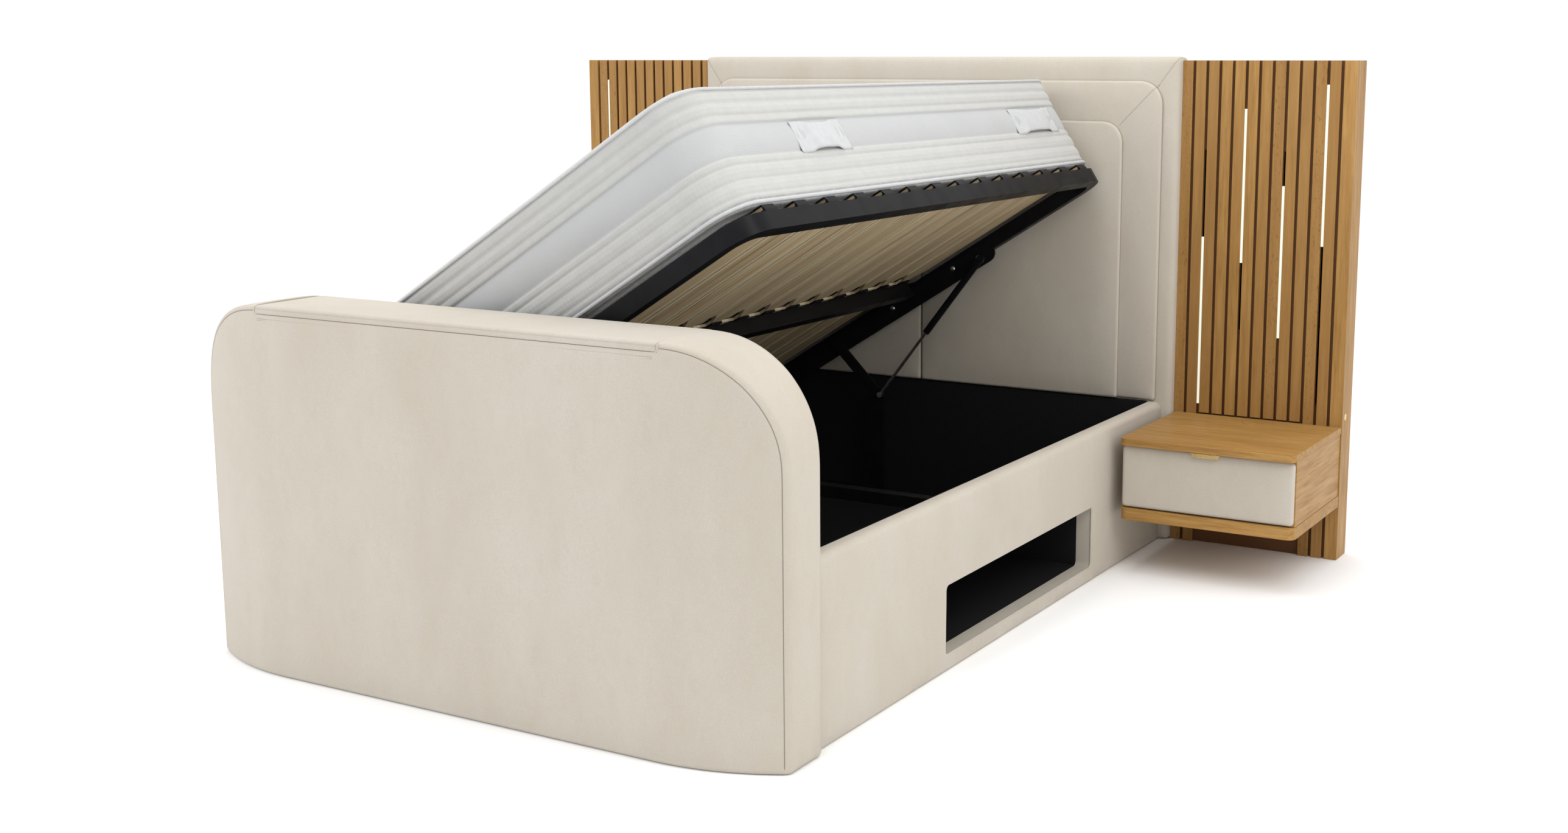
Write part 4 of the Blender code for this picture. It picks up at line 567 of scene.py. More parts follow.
def bridge(bm, rings, around=False):
    """Skins the rings one to the next: round to the first one again, or with both ends closed."""
    pairs = list(zip(rings, rings[1:])) + ([(rings[-1], rings[0])] if around else [])
    for ring, other in pairs:
        for k in range(len(ring)):
            bm.faces.new((ring[k - 1], ring[k], other[k], other[k - 1]))
    if not around:
        bm.faces.new(rings[0])
        bm.faces.new(rings[-1])


def prism(outline, low, high, place):
    """A closed prism of the outline between two depths, where place turns (u, v, depth) into a point."""
    bm = bmesh.new()
    bridge(bm, [[bm.verts.new(place(u, v, depth)) for u, v in outline] for depth in (low, high)])
    return bm


def rounded_outline(half_u, half_v, radius, steps=6, step=None):
    """A rounded rectangle about the origin, with its straight sides split no longer than step."""
    points = []
    for turn, (cu, cv) in enumerate(((1, 1), (-1, 1), (-1, -1), (1, -1))):
        centre = (cu * (half_u - radius), cv * (half_v - radius))
        for i in range(steps + 1):
            angle = math.pi / 2 * (turn + i / steps)
            points.append((centre[0] + radius * math.cos(angle), centre[1] + radius * math.sin(angle)))
    return split(points, step) if step else points


def split(points, step, closed=True):
    """The same line with points no further apart than step."""
    found = []
    for i, a in enumerate(points):
        b = points[(i + 1) % len(points)]
        if i == len(points) - 1 and not closed:
            found.append(a)
            break
        count = max(1, math.ceil(math.dist(a, b) / step))
        found += [tuple(p + (q - p) * k / count for p, q in zip(a, b)) for k in range(count)]
    return found


TINY = 1e-9


def spaced(half, edge, step):
    """Places from -half to half: the insets of edge at both ends, and even steps between them."""
    inner = half - edge[-1]
    count = max(2, math.ceil(2 * inner / step))
    middle = [-inner + 2 * inner * i / count for i in range(1, count)]
    return [-half + e for e in edge] + middle + [half - e for e in reversed(edge)]


def rounded(u, v, half_u, half_v, corner):
    """A grid point once its corner square is a quarter disc, and the way out of the outline there."""
    su, sv = math.copysign(1, u), math.copysign(1, v)
    radius = corner(su, sv)
    a, b = abs(u) - (half_u - radius), abs(v) - (half_v - radius)
    if a > TINY and b > TINY:
        length = math.hypot(a, b)
        scale = max(a, b) / length
        at = (su * (half_u - radius + a * scale), sv * (half_v - radius + b * scale))
        return at, (su * a / length, sv * b / length)
    if half_u - abs(u) < TINY:
        return (u, v), (su, 0)
    return (u, v), (0, sv)


HELD = {}
ON_LINE = 1e-4
HEM_FALL = 0.001
RIPPLES = 9
RIPPLES_FULL = 0.08
SHADED_RIM = 0.45


def pad(
    name,
    size,
    edge,
    roll,
    rings,
    place,
    materials,
    corner,
    step=0.028,
    held_inset=0.012,
    held_at=None,
    puff=0.0,
    seam=None,
    rim_painted_shade=0.0,
):
    """A padded panel: its face is a grid that follows the rounded corners, and rings carry it to the back.

    size is half the width and height, and edge the insets of the first grid lines. roll gives how far the
    face falls back at each inset. Each ring is (inset, share of the way to the back, further depth). One
    that isn't held cover adds its material index and whether the simulation holds it, as it holds the face
    within held_inset of the outline and where held_at says. seam is the inset of a sewn line along the
    sides and the top, and rim_painted_shade how much painted shade the fold at the outline gets: both paint
    shade onto the cover there, and so do the rings that reach the back.
    """
    half_u, half_v = size
    us, vs = spaced(half_u, edge, step), spaced(half_v, edge, step)
    bm = bmesh.new()
    border = bm.loops.layers.uv.new("border")
    crease = bm.verts.layers.float.new("crease")
    held, grid = [], []
    insets, depths = zip(*roll)
    for v in vs:
        row = []
        for u in us:
            at, _ = rounded(u, v, half_u, half_v, corner)
            inset = min(half_u - abs(u), half_v - abs(v))
            ripple = noise.noise(Vector((at[0] * RIPPLES, at[1] * RIPPLES, half_u * 7)))
            ripple = ripple * puff * min(1, inset / RIPPLES_FULL)
            fall = float(np.interp(inset, insets, depths))
            sewn = bool(seam) and abs(inset - seam) < ON_LINE
            if sewn and v < seam - half_v + ON_LINE:
                sewn = False
                fall = HEM_FALL
            vert = bm.verts.new(place(*at, 0, fall - ripple))
            # Painted shade: full along a sewn groove, and the rim's share at the outline.
            vert[crease] = 1.0 if sewn else rim_painted_shade if inset < 1e-6 else 0.0
            row.append(vert)
            held.append(inset < held_inset or bool(held_at and held_at(u, v)))
        grid.append(row)
    for low, high in zip(grid, grid[1:]):
        for i in range(len(us) - 1):
            bm.faces.new((low[i], low[i + 1], high[i + 1], high[i]))
    last_u, last_v = len(us) - 1, len(vs) - 1
    rim = [(i, 0) for i in range(last_u)] + [(last_u, j) for j in range(last_v)]
    rim += [(i, last_v) for i in range(last_u, 0, -1)] + [(0, j) for j in range(last_v, 0, -1)]
    ends = [rounded(us[i], vs[j], half_u, half_v, corner) for i, j in rim]
    lengths = [math.dist(ends[k][0], ends[k - 1][0]) for k in range(len(ends))]
    around = np.cumsum(lengths)
    loop, height = [grid[j][i] for i, j in rim], 0.0
    for inset, share, depth, *more in rings:
        index, is_held = more or (0, True)
        ring = [
            bm.verts.new(place(at[0] - out[0] * inset, at[1] - out[1] * inset, share, depth))
            for at, out in ends
        ]
        held += [is_held] * len(ring)
        for vert in ring:
            # Painted shade on the rings that fold round to the back of the pad.
            vert[crease] = 0.0 if share < 0.95 else SHADED_RIM if depth < -0.003 else 1.0
        rise = (ring[0].co - loop[0].co).length
        for k in range(len(ring)):
            face = bm.faces.new((loop[k - 1], loop[k], ring[k], ring[k - 1]))
            face.material_index = index
            near, far = around[k] - lengths[k], around[k]
            uvs = ((near, height), (far, height), (far, height + rise), (near, height + rise))
            for corner_loop, uv in zip(face.loops, uvs):
                corner_loop[border].uv = uv
        loop, height = ring, height + rise
    back = [[None] * len(us) for _ in vs]
    shrink = 1 - rings[-1][0] / min(half_u, half_v)
    for (i, j), vert in zip(rim, loop):
        back[j][i] = vert
    for j in range(1, last_v):
        for i in range(1, last_u):
            at, _ = rounded(us[i], vs[j], half_u, half_v, corner)
            back[j][i] = bm.verts.new(place(at[0] * shrink, at[1] * shrink, *rings[-1][1:3]))
            held.append(True)
    for low, high in zip(back, back[1:]):
        for i in range(last_u):
            face = bm.faces.new((low[i], high[i], high[i + 1], low[i + 1]))
            face.material_index = len(materials) - 1
    obj = piece(name, bm, *materials)
    HELD[name] = held
    return obj


CLOTH = {
    "quality": 4,
    "mass": 0.4,
    "tension_stiffness": 12,
    "compression_stiffness": 12,
    "shear_stiffness": 4,
    "bending_stiffness": 1.5,
    "use_pressure": True,
    "vertex_group_mass": "held",
}
SWELL_FRAMES = 20
FLOOR_CLEAR = 0.001


def points_of(mesh):
    flat = np.zeros(len(mesh.vertices) * 3, np.float32)
    mesh.vertices.foreach_get("co", flat)
    return flat.reshape(-1, 3)


def swell(jobs):
    """Cloth simulation of stuffed covers, all at once: each job is (object, most movement, pressure)."""
    rests = []
    for obj, _, pressure in jobs:
        rests.append(points_of(obj.data))
        group = obj.vertex_groups.new(name="held")
        group.add([i for i, fixed in enumerate(HELD[obj.name]) if fixed], 1.0, "REPLACE")
        cloth = obj.modifiers.new("cloth", "CLOTH")
        for key, value in CLOTH.items():
            setattr(cloth.settings, key, value)
        cloth.settings.uniform_pressure_force = pressure
        cloth.settings.effector_weights.gravity = 0
        cloth.collision_settings.use_collision = False
        cloth.point_cache.frame_end = SWELL_FRAMES
    scene = bpy.context.scene
    for number in range(1, SWELL_FRAMES + 1):
        scene.frame_set(number)
    graph = bpy.context.evaluated_depsgraph_get()
    for (obj, cap, _), rest in zip(jobs, rests):
        shift = points_of(obj.evaluated_get(graph).data) - rest
        reach = np.linalg.norm(shift, axis=1, keepdims=True)
        shift *= np.tanh(reach / cap) * cap / np.maximum(reach, TINY)
        obj.modifiers.clear()
        obj.vertex_groups.clear()
        after = rest + shift
        after[:, 2] = np.maximum(after[:, 2], np.minimum(rest[:, 2], FLOOR_CLEAR))
        obj.data.vertices.foreach_set("co", after.ravel())
        obj.data.update()
    scene.frame_set(1)


def sweep(bm, points, normal, radius, sides=8, closed=True):
    """A tube along points that lie in the plane of normal. radius is one number, or one for each point."""
    points = [Vector(p) for p in points]
    radii = radius if isinstance(radius, list) else [radius] * len(points)
    normal = Vector(normal)
    rings = []
    for i, point in enumerate(points):
        after = points[(i + 1) % len(points)] if closed or i < len(points) - 1 else point
        before = points[i - 1] if closed or i else point
        side = (after - before).normalized().cross(normal).normalized()
        rings.append([])
        for k in range(sides):
            angle = 2 * math.pi * k / sides
            way = side * math.cos(angle) + normal * math.sin(angle)
            rings[-1].append(bm.verts.new(point + way * radii[i]))
    bridge(bm, rings, closed)


STITCH_PITCH = 0.0055
STITCH_LENGTH = 0.0036
THREAD_RADIUS = 0.0006


def stitches(bm, points, normal):
    """Thread along a line: one small raised bead for each stitch."""
    points = [Vector(p) for p in split(points, STITCH_PITCH, closed=False)]
    radii = [THREAD_RADIUS * 0.3, THREAD_RADIUS, THREAD_RADIUS, THREAD_RADIUS * 0.3]
    for a, b in zip(points, points[1:]):
        if (b - a).length < STITCH_LENGTH:
            continue
        middle = (a + b) / 2
        way = (b - a).normalized() * STITCH_LENGTH / 2
        line = [middle - way, middle - way * 0.6, middle + way * 0.6, middle + way]
        sweep(bm, line, normal, radii, 5, closed=False)


def turned(bm, profile, centre, axis, sides):
    """A lathe shape: profile is (radius, distance along the axis) from one end to the other."""
    axis = Vector(axis).normalized()
    side = axis.orthogonal().normalized()
    other = axis.cross(side)
    angles = [2 * math.pi * k / sides for k in range(sides)]
    rings = []
    for radius, along in profile:
        middle = Vector(centre) + axis * along
        ways = [side * math.cos(t) + other * math.sin(t) for t in angles]
        rings.append([bm.verts.new(middle + way * radius) for way in ways])
    bridge(bm, rings)


def fit(obj, body, slot, *nodes):
    """Puts a finished piece on its body and hides the CAD nodes that it stands for; its finish, slot, is not
    used.
    """
    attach(obj, body)
    if nodes:
        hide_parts(*nodes)
    return obj


# Upholstery

SIDES = ((-1, "left"), (1, "right"))
HEAD_EDGE = [0, 0.0022, 0.0055, 0.009, 0.012, 0.02, 0.032, 0.05, 0.066, 0.072]
SOFT_ROLL = ((0, 0.0085), (0.0022, 0.0046), (0.0055, 0.002), (0.009, 0.0008), (0.02, 0.0))
PANEL_RINGS = [(0, 1, -0.0035), (0.0015, 1, -0.001), (0.004, 1, 0)]
SEAM_INSET = 0.0125
FOOTBOARD_EDGE = [0, 0.003, 0.007, 0.0105, SEAM_INSET, 0.0145, 0.02]
FOOTBOARD_FALLS = [0.0095, 0.0048, 0.0018, 0.0012, 0.0034, 0.0012, 0.0]
FOOTBOARD_CORNER = 0.26
LID_MIDDLE = (FRONT + WELL_START) / 2
LID_PLAY = 0.0003


def flat_front(front, back, x, z):
    """Places a pad that faces the foot of the bed, with its middle at x and z."""
    return lambda u, v, share, depth: Vector((x + u, front + (back - front) * share + depth, z + v))


def corners(upper, lower, sides=(-1, 1)):
    """The corner radii of a pad: upper for its upper corners on these sides, and lower for the others."""
    return lambda su, sv: upper if sv > 0 and su in sides else lower


def hidden(half, top):
    """Where the next panel covers this one, so that the simulation holds it flat."""
    return lambda u, v: abs(u) < half and v < top


def setback(x):
    """How far the footboard's face has curved back at x."""
    run = FOOTBOARD_HALF - FLAT_HALF
    radius = (run**2 + FOOTBOARD_SETBACK**2) / (2 * FOOTBOARD_SETBACK)
    past = min(run, max(0.0, abs(x) - FLAT_HALF))
    return radius - math.sqrt(radius**2 - past**2)


def footboard_place(u, v, share, depth):
    front = FRONT + setback(u)
    return Vector((u, front + (WELL_START - front) * share + depth, FOOTBOARD_TOP / 2 + v))


def lid_place(u, v, share, depth):
    y = LID_MIDDLE + v + (setback(u) if v < 0 else 0)
    return Vector((u, y, FOOTBOARD_TOP - (LID_THICKNESS - LID_PLAY) * share - depth))


def head_panel(name, half, top, planes, middle, finish, corner, **more):
    """A thin pad of the headboard, which stands just above the rails."""
    return pad(
        "headboard_" + name,
        (half, (top - PANEL_BOTTOM) / 2),
        HEAD_EDGE,
        SOFT_ROLL,
        PANEL_RINGS,
        flat_front(*planes, middle, (top + PANEL_BOTTOM) / 2),
        [finish],
        corner,
        held_inset=0.006,
        # Painted shade along the panel's outline.
        rim_painted_shade=0.85,
        **more,
    )


footboard = pad(
    "footboard_cover",
    (FOOTBOARD_HALF, FOOTBOARD_TOP / 2),
    FOOTBOARD_EDGE + [0.045, 0.08, 0.115, 0.15, 0.185, 0.2225, FOOTBOARD_CORNER],
    zip(FOOTBOARD_EDGE, FOOTBOARD_FALLS),
    [(0, share, 0, 0, False) for share in (0.12, 0.3, 0.5, 0.7, 0.88)]
    + [(0, 1, -0.01), (0.002, 1, -0.0035), (0.007, 1, 0)],
    footboard_place,
    [PLUSH],
    corners(FOOTBOARD_CORNER, SEAM_INSET),
    step=0.035,
    held_inset=0.0146,
    puff=0.0012,
    seam=SEAM_INSET,
)
lid = pad(
    "tv_lid_cover",
    (LID_HALF - 0.0005, (WELL_START - FRONT) / 2 - LID_PLAY),
    [0, 0.0018, 0.0045, 0.008, 0.02],
    ((0, 0.0075), (0.0018, 0.003), (0.0045, 0.0008), (0.008, 0.0)),
    [(0, 0.72, 0), (0.0003, 0.9, 0), (0.0012, 0.98, 0), (0.004, 1, 0)],
    lid_place,
    [PLUSH],
    corners(0.0045, 0.0045),
    step=0.024,
    held_inset=0.009,
    puff=0.0006,
    # Painted shade along the lid's outline.
    rim_painted_shade=0.5,
)
border = pad(
    "headboard_border_cover",
    (BORDER_HALF, BORDER_MIDDLE),
    [0, 0.003, 0.008, 0.014, 0.02, 0.034, 0.05],
    ((0, 0.016), (0.003, 0.0085), (0.008, 0.0036), (0.014, 0.001), (0.02, 0.0)),
    [(0, 0.5, 0, 0, False), (0, 1, -0.01), (0.003, 1, -0.003), (0.009, 1, 0)],
    flat_front(BORDER_FRONT, BORDER_BACK, 0, BORDER_MIDDLE),
    [PLUSH_HEAD],
    corners(0.014, 0.014),
    held_inset=0.004,
    held_at=hidden(0.81, 0.66),
    puff=0.001,
)
mid_panel = head_panel(
    "mid_cover",
    MID_HALF,
    MID_TOP,
    (MID_FRONT, MID_BACK),
    0,
    PLUSH_HEAD,
    corners(0.072, 0.009),
    held_at=hidden(0.685, 0.36),
    puff=0.001,
)
inner_panels = [
    head_panel(
        "panel_cover_" + suffix,
        (INNER_END - INNER_START) / 2,
        INNER_TOP,
        (INNER_FRONT, INNER_BACK),
        side * (INNER_END + INNER_START) / 2,
        PLUSH,
        corners(0.066, 0.009, [side]),
        puff=0.0015,
    )
    for side, suffix in SIDES
]
drawer_fronts = [
    pad(
        "drawer_front_cover_" + suffix,
        DRAWER_HALF,
        [0, 0.0018, 0.0045, 0.008, 0.012, 0.018, 0.026],
        ((0, 0.0075), (0.0018, 0.0042), (0.0045, 0.002), (0.008, 0.0007), (0.018, 0.0)),
        [(0, 0.44, 0), (0.0012, 0.492, 0), (0.0165, 0.496, 0)]
        + [(0.0166, 0.7, 0), (0.0166, 1, -0.001), (0.019, 1, 0)],
        flat_front(DRAWER_FRONT, DRAWER_BACK, side * DRAWER_MIDDLE[0], DRAWER_MIDDLE[1]),
        [PLUSH],
        corners(0.013, 0.013),
        step=0.016,
        held_inset=0.009,
        puff=0.0006,
    )
    for side, suffix in SIDES
]


def rail(name, side):
    """A padded side rail: its section, rounded more outside than inside, drawn along the bed."""
    outer, inner, foot, end = 0.022, 0.012, 0.006, 0.004

    def arc(x, radius, start, count):
        angles = [math.pi / 2 * (start + k / (count - 1)) for k in range(count)]
        return [(x + radius * math.cos(a), RAIL_TOP - radius + radius * math.sin(a)) for a in angles]

    section = [(RAIL_OUTER, foot + (RAIL_TOP - outer - foot) * k / 15) for k in range(15)]
    section += arc(RAIL_OUTER - outer, outer, 0, 8) + arc(RAIL_INNER + inner, inner, 1, 6)
    section += [(RAIL_INNER, (RAIL_TOP - inner) * (1 - (k + 1) / 10)) for k in range(9)]
    section += [(RAIL_INNER + 0.003, 0.0), (RAIL_OUTER - foot, 0.0)]
    count = 84
    length = RAIL_END - RAIL_START - 2 * end
    stations = [(RAIL_START, end), (RAIL_START + end, 0.0)]
    stations += [(RAIL_START + end + length * k / count, 0.0) for k in range(1, count)]
    stations += [(RAIL_END - end, 0.0), (RAIL_END, end)]
    middle = (RAIL_INNER + RAIL_OUTER) / 2
    bm = bmesh.new()
    rings, held = [], []
    for y, inset in stations:
        rings.append([])
        for x, z in section:
            nearer = x + math.copysign(inset, middle - x)
            lower = min(z, RAIL_TOP - inset)
            soft = 0.03 < z < 0.4 and x > middle
            ripple = noise.noise(Vector((y * 6, z * 9, 3 * side))) * 0.0012 if soft else 0
            rings[-1].append(bm.verts.new((side * (nearer + ripple), y, lower)))
            held.append(inset > 0 or x < RAIL_OUTER - 0.001 or z < 0.02)
    bridge(bm, rings)
    HELD[name] = held
    return piece(name, bm, PLUSH)


rails = [rail("side_rail_cover_" + suffix, side) for side, suffix in SIDES]


# Mattress

TOP, BAND, AIR, BASE = range(4)
TUCKS = (0.287, 0.259, 0.227, 0.205, 0.125, 0.104, 0.066, 0.03, 0.015, 0.006, 0.001, 0.0)
BORDER_PROFILE = (
    (TOP, ((0.002, 0.291),)),
    (BAND, ((0.005, 0.287), (0.002, 0.283), (0.0015, 0.272), (0.003, 0.263), (0.006, 0.259))),
    (BAND, ((0.0028, 0.255), (0.001, 0.243), (0.003, 0.231), (0.0068, 0.227), (0.0035, 0.223))),
    (BAND, ((0.0028, 0.214), (0.004, 0.208))),
    (AIR, ((0.0085, 0.205), (0.0052, 0.201), (0.0042, 0.185), (0.004, 0.165), (0.0042, 0.145))),
    (AIR, ((0.0052, 0.129), (0.0085, 0.125))),
    (BAND, ((0.004, 0.122), (0.0028, 0.115), (0.0035, 0.108), (0.007, 0.104), (0.003, 0.1))),
    (BAND, ((0.001, 0.087), (0.0028, 0.07), (0.006, 0.066), (0.003, 0.062), (0.0012, 0.048))),
    (BAND, ((0.003, 0.034), (0.0058, 0.03), (0.003, 0.026), (0.0035, 0.019))),
    (BASE, ((0.008, 0.015), (0.005, 0.006), (0.008, 0.001), (0.015, 0.0))),
)
CROWN = ((0, 0.019), (0.006, 0.015), (0.014, 0.012), (0.03, 0.009), (0.06, 0.006), (0.1, 0.0045))
QUILT_U, QUILT_V = 0.26, 0.9 / 3.5
QUILT_END = (0.651, 0.901)


def mattress_place(u, v, share, depth):
    height = MATTRESS_BASE + MATTRESS_THICKNESS * (1 - share) - depth
    return PLATFORM @ Vector((MATTRESS_MIDDLE + u, v, height))


def on_quilting(u, v):
    """Whether a point of the mattress top lies on a line of its quilting."""
    if abs(u) > QUILT_END[0] or abs(v) > QUILT_END[1]:
        return False
    lines = ((u, QUILT_U), (v, QUILT_V))
    return any(abs(math.remainder(at - pitch / 2, pitch)) < 0.002 for at, pitch in lines)


mattress = pad(
    "mattress_cover",
    MATTRESS_HALF,
    [0, 0.006, 0.014, 0.026, 0.04, 0.055, 0.07, 0.085, MATTRESS_CORNER],
    (*CROWN, (0.4, 0.003)),
    [
        (inset, 0, MATTRESS_THICKNESS - height, index, height in TUCKS)
        for index, profile in BORDER_PROFILE
        for inset, height in profile
    ],
    mattress_place,
    [KNIT_TOP, KNIT_BAND, MESH_BAND, UNDERSIDE],
    corners(MATTRESS_CORNER, MATTRESS_CORNER),
    step=0.0260001,
    held_inset=0.0,
    held_at=on_quilting,
    puff=0.0008,
)

swell(
    [
        (footboard, 0.0045, 1.2),
        (lid, 0.0016, 1.5),
        *((cover, 0.003, 1.2) for cover in (border, mid_panel)),
        *((cover, 0.005, 1.2) for cover in inner_panels),
        *((cover, 0.0025, 2.0) for cover in drawer_fronts),
        *((cover, 0.003, 1.2) for cover in rails),
        (mattress, 0.0075, 4.0),
    ]
)


# Finishing the upholstery: subdivision, then the openings


def bowed_block(half, bottom, top, corner, front, back):
    """The hollow of the footboard: an arched block whose front follows the footboard's curve."""
    shoulder = half - corner
    arc = [math.pi / 2 * i / 10 for i in range(11)]
    upper = [(shoulder + corner * math.sin(a), top - corner + corner * math.cos(a)) for a in arc]
    upper = [(-x, z) for x, z in reversed(upper)] + upper
    outline = [(x, bottom) for x, _ in upper] + upper[::-1]
    bm = bmesh.new()
    near = [bm.verts.new((x, front + setback(x), z)) for x, z in outline]
    far = [bm.verts.new((x, back, z)) for x, z in outline]
    for i in range(len(outline)):
        bm.faces.new((near[i - 1], near[i], far[i], far[i - 1]))
    for ring in (near, far):
        for i in range(len(upper) - 1):
            bm.faces.new((ring[i], ring[i + 1], ring[-i - 2], ring[-i - 1]))
    return bm


def box(low, high):
    outline = [(low[0], low[1]), (high[0], low[1]), (high[0], high[1]), (low[0], high[1])]
    return prism(outline, low[2], high[2], lambda u, v, depth: (u, v, depth))


for cover in (lid, border, mid_panel, *inner_panels, *drawer_fronts, mattress, footboard):
    subdivide(cover)
settle(footboard)

HOLLOW_BOTTOM, HOLLOW_TOP, HOLLOW_CORNER = 0.02, 0.88, 0.215
MOUTH_HALF, MOUTH_BOTTOM, MOUTH_TOP = 0.56, 0.86, 0.91
BACK_WALL = 0.018
WELL_FRONT = FRONT + LID_FRONT_WALL
hollow = (FOOTBOARD_HALF - FOOTBOARD_WALL, HOLLOW_BOTTOM, HOLLOW_TOP, HOLLOW_CORNER)
cut(footboard, bowed_block(*hollow, WELL_FRONT, WELL_START + 0.01))
cut(footboard, box((-LID_HALF - 0.0008, FRONT - 0.02, LEDGE), (LID_HALF + 0.0008, WELL_START + 0.02, 0.95)))
cut(footboard, box((-MOUTH_HALF, WELL_FRONT, MOUTH_BOTTOM), (MOUTH_HALF, WELL_START - BACK_WALL, MOUTH_TOP)))

NICHE_Y = ((NICHE_START + NICHE_END) / 2, (NICHE_END - NICHE_START) / 2)
NICHE_Z = ((NICHE_BOTTOM + NICHE_TOP) / 2, (NICHE_TOP - NICHE_BOTTOM) / 2)
niche = prism(
    rounded_outline(NICHE_Y[1], NICHE_Z[1], 0.015),
    RAIL_INNER - 0.02,
    RAIL_OUTER + 0.02,
    lambda u, v, depth: (depth, NICHE_Y[0] + u, NICHE_Z[0] + v),
)
cut(rails[1], niche)

COVERED = [
    (footboard, "base", "footboard_shell"),
    (border, "base", "headboard_border"),
    (mid_panel, "base", "headboard_mid_panel"),
    (inner_panels[0], "base", "headboard_panel_left"),
    (inner_panels[1], "base", "headboard_panel_right"),
    (rails[0], "base", "side_rail_left"),
    (rails[1], "base", "side_rail_right"),
    (lid, "tv_lid", "tv_lid"),
    (drawer_fronts[0], "drawer_left", "drawer_front_left"),
    (drawer_fronts[1], "drawer_right", "drawer_front_right"),
]
for cover, body, node in COVERED:
    fit(cover, body, "plush", node)
fit(mattress, "platform", "ticking", "mattress")


# Lips, seams and stitching


def trim(name, bm, material, body, slot):
    return fit(piece(name, bm, material), body, slot)


LIP_RADIUS = 0.0026
lip_y = FRONT + 0.0022
lid_end = LID_HALF + 0.0014
end_y = lip_y + setback(lid_end)
turn_down = ((0, FOOTBOARD_TOP - 0.004), (0, LEDGE + 0.006), (0.006, LEDGE - 0.0012))
lip_line = [(-lid_end + inward, end_y, z) for inward, z in turn_down]
lip_x = np.linspace(-lid_end + 0.02, lid_end - 0.02, 60)
lip_line += [(x, lip_y + setback(x), LEDGE - 0.0018) for x in lip_x]
lip_line += [(lid_end - inward, end_y, z) for inward, z in reversed(turn_down)]
lips = bmesh.new()
sweep(lips, lip_line, (0, 1, 0), LIP_RADIUS, 8, closed=False)
trim("footboard_notch_lip", lips, PLUSH, "base", "plush")

opening = bmesh.new()
ring = rounded_outline(NICHE_Y[1] + 0.0005, NICHE_Z[1] + 0.0005, 0.0155, 6, 0.02)
path = [(RAIL_OUTER - 0.0016, NICHE_Y[0] + u, NICHE_Z[0] + v) for u, v in ring]
sweep(opening, path, (1, 0, 0), 0.0035, 10)
trim("niche_lip", opening, PLUSH, "base", "plush")

thread = bmesh.new()
thread_x = np.linspace(-LID_HALF + 0.01, LID_HALF - 0.01, 90)
for drop in (0.0095, 0.0135):
    stitches(thread, [(x, FRONT + setback(x) - 0.0008, LEDGE - drop) for x in thread_x], (0, 1, 0))
trim("footboard_stitching", thread, THREAD, "base", "plush")

piped = bmesh.new()
for height, inset, radius in ((0.0085, 0.0045, 0.0052), (0.2955, 0.0042, 0.0042)):
    corner = MATTRESS_CORNER - inset
    outline = rounded_outline(MATTRESS_HALF[0] - inset, MATTRESS_HALF[1] - inset, corner, 24, 0.0032)
    path = [PLATFORM @ Vector((MATTRESS_MIDDLE + u, v, MATTRESS_BASE + height)) for u, v in outline]
    radii = [radius * (1.05 if i % 2 else 0.9) for i in range(len(path))]
    sweep(piped, path, tuple(UP), radii, 8)
trim("mattress_piping", piped, PIPING, "platform", "ticking")


HANDLE_ON = 1.4985
HANDLE_HEIGHT = 0.177
HANDLE_THICKNESS = 0.0022


def handle(name, start, end):
    """A sewn fabric handle on the mattress's long side: flat tabs at its ends, and a slack middle."""
    bm = bmesh.new()
    rows = []
    columns, lines = 36, 10
    for i in range(columns + 1):
        share = i / columns
        tab = min(share, 1 - share) * (end - start)
        slack = min(1, max(0, (tab - 0.04) / 0.035))
        slack = slack * slack * (3 - 2 * slack)
        rows.append([])
        for j in range(lines + 1):
            v = 2 * j / lines - 1
            half = 0.041 - 0.0065 * slack + 0.001 * math.sin(9 * share)
            wave = 0.0004 * math.sin(23 * share + 3 * v)
            wave += noise.noise(Vector((share * 7, v * 2, start))) * 0.0012
            out = 0.001 + 0.0075 * slack * (1 - 0.25 * v * v) + wave
            sewn = 0.0012 if 0.01 < tab < 0.014 or 0.03 < tab < 0.034 else 0
            along = start + (end - start) * share
            at = (HANDLE_ON + max(out, 0.0006) - sewn, along, HANDLE_HEIGHT + half * v)
            rows[-1].append(bm.verts.new(PLATFORM @ Vector(at)))
    for a, b in zip(rows, rows[1:]):
        for j in range(lines):
            bm.faces.new((a[j], a[j + 1], b[j + 1], b[j]))
    obj = piece(name, bm, HANDLE)
    modifier = obj.modifiers.new("thickness", "SOLIDIFY")
    modifier.thickness = HANDLE_THICKNESS
    modifier.offset = 1
    return fit(obj, "platform", "ticking")


handle("mattress_handle_foot", -0.62, -0.39)
handle("mattress_handle_head", 0.58, 0.86)


# Small metal parts

BOLT_HEAD = [(0.0085, 0), (0.0088, 0.0008), (0.0075, 0.0014), (0.0062, 0.0018), (0.006, 0.003)]
BOLT_HEAD += [(0.0048, 0.0037), (0.0001, 0.0038)]
BOLTS = ((1.012, -0.046), (0.914, -0.031), (0.65, -0.036))
ARM_FACE = 0.9597
CONNECTOR = [(0.0105, -0.0006), (0.0108, 0.0004), (0.0095, 0.0012), (0.006, 0.0012), (0.0055, 0.0004)]
CONNECTOR += [(0.0001, 0.0004)]
CONNECTOR_AT = (1.4, 1.152, 0.437)
GROMMET = [(0.022, -0.0004), (0.022, 0.0008), (0.0205, 0.0018), (0.015, 0.002), (0.014, 0.001)]
GROMMET += [(0.0001, 0.001)]
GROMMET_AT = (1.138, 1.048, 0.411)

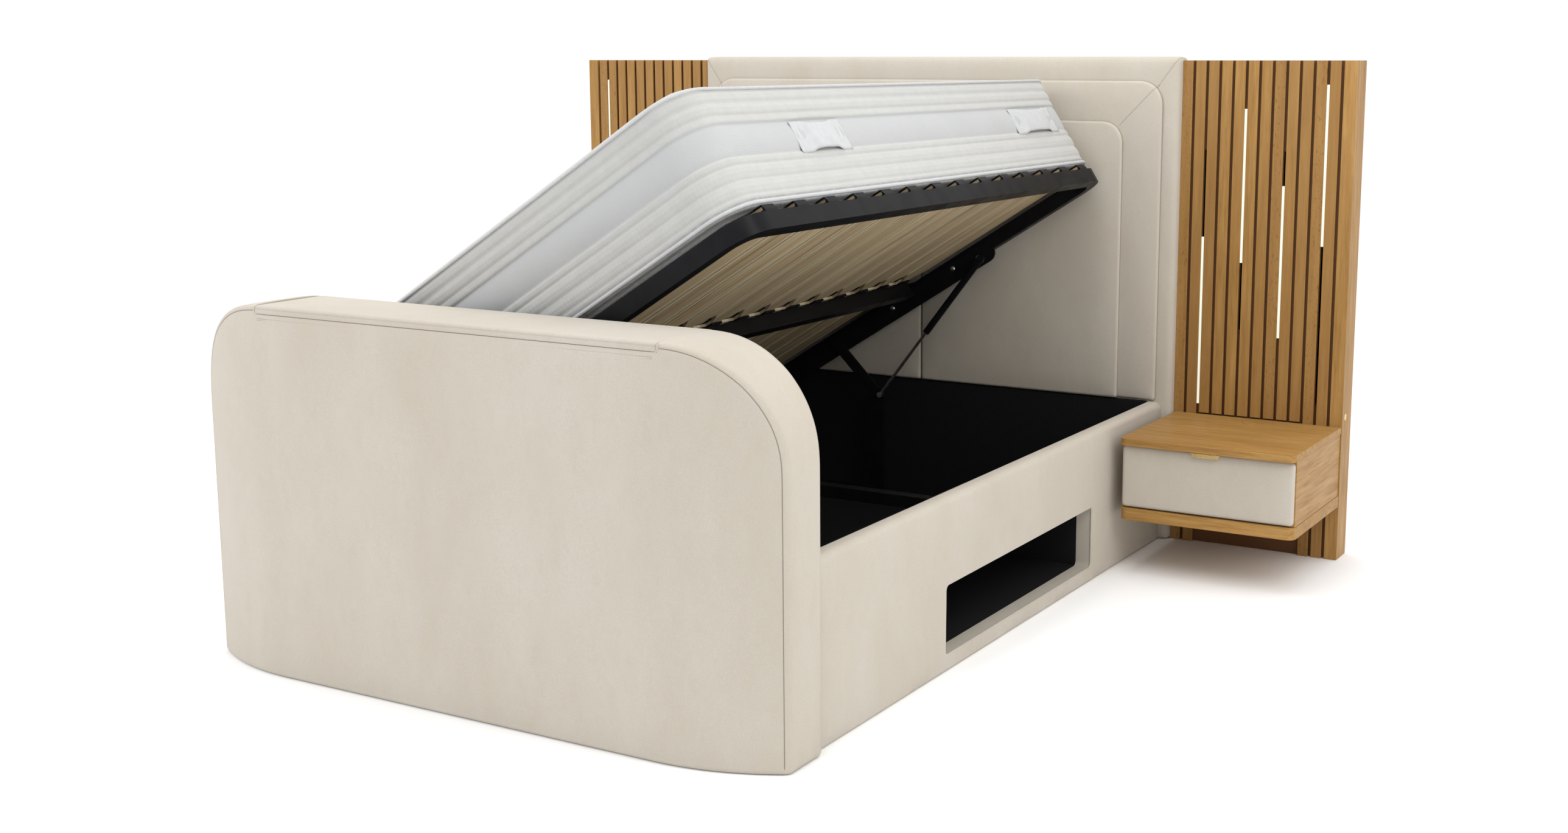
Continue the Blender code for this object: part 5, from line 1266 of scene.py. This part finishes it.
bolts = bmesh.new()
for end in (-1, 1):
    for along, up in BOLTS:
        at = PLATFORM @ Vector((along, 0, up))
        turned(bolts, BOLT_HEAD, (at.x, PLATFORM_MIDDLE + end * ARM_FACE, at.z), (0, -end, 0), 18)
trim("lift_arm_bolts", bolts, STEEL, "platform", "bare_steel")

for side, suffix in SIDES:
    fitting = bmesh.new()
    turned(fitting, CONNECTOR, (side * CONNECTOR_AT[0], *CONNECTOR_AT[1:]), (side, 0, 0), 24)
    trim("wing_connector_" + suffix, fitting, BRASS, "base", "brass")
    grommet = bmesh.new()
    turned(grommet, GROMMET, (side * GROMMET_AT[0], *GROMMET_AT[1:]), (0, 0, 1), 32)
    trim("stand_grommet_" + suffix, grommet, OAK_WIDE, "base", "oak")


# Stage, light and camera

floor_mesh = bmesh.new()
bmesh.ops.create_grid(floor_mesh, x_segments=8, y_segments=8, size=40)
bmesh.ops.translate(floor_mesh, vec=(0, 0, -0.0006), verts=floor_mesh.verts)
pale = Surface("pale_floor", Roughness=0.85)
pale.set(Base_Color=pale.ramp(pale.noise(3), (0.3, (0.935, 0.935, 0.935)), (0.7, (0.945, 0.945, 0.945))))
floor = piece("floor", floor_mesh, pale.material)

world = bpy.data.worlds.new("studio")
world.use_nodes = True
background = world.node_tree.nodes["Background"].inputs
background["Color"].default_value = (1, 1, 1, 1)
background["Strength"].default_value = 1.08
scene = bpy.context.scene
scene.world = world
scene.view_settings.view_transform = "Standard"


def area(name, place, at, size, watts, colour):
    """A rectangular light at place, turned to the point at, which the camera doesn't see."""
    light = bpy.data.lights.new(name, "AREA")
    light.shape = "RECTANGLE"
    light.size, light.size_y = size
    light.energy = watts
    light.color = colour
    obj = bpy.data.objects.new(name, light)
    obj.location = place
    obj.rotation_euler = (Vector(at) - obj.location).to_track_quat("-Z", "Y").to_euler()
    obj.visible_camera = False
    scene.collection.objects.link(obj)


area("key", (-3.4, -5.0, 3.4), (-0.3, -0.8, 0.5), (3.0, 2.4), 92, (0.97, 0.985, 1.03))
area("fill", (5.6, -1.0, 3.4), (0.7, 0.2, 0.3), (2.6, 2.6), 22, (1, 0.995, 0.985))
area("top", (0.2, 0.0, 5.2), (0, 0.2, 0), (3.8, 3.4), 92, (1, 1, 1))
area("wing", (2.5, -1.1, 2.5), (1.15, 0.95, 0.55), (1.3, 1.3), 22, (1, 0.99, 0.96))

lens = bpy.data.cameras.new("camera")
lens.lens = 41.93
lens.shift_x = -0.0551
lens.shift_y = -0.028
lens.clip_end = 200
camera = bpy.data.objects.new("camera", lens)
camera.location = (2.8125, -4.247, 1.5)
camera.rotation_euler = (math.radians(80.25), 0, math.radians(29.5))
scene.collection.objects.link(camera)
scene.camera = camera
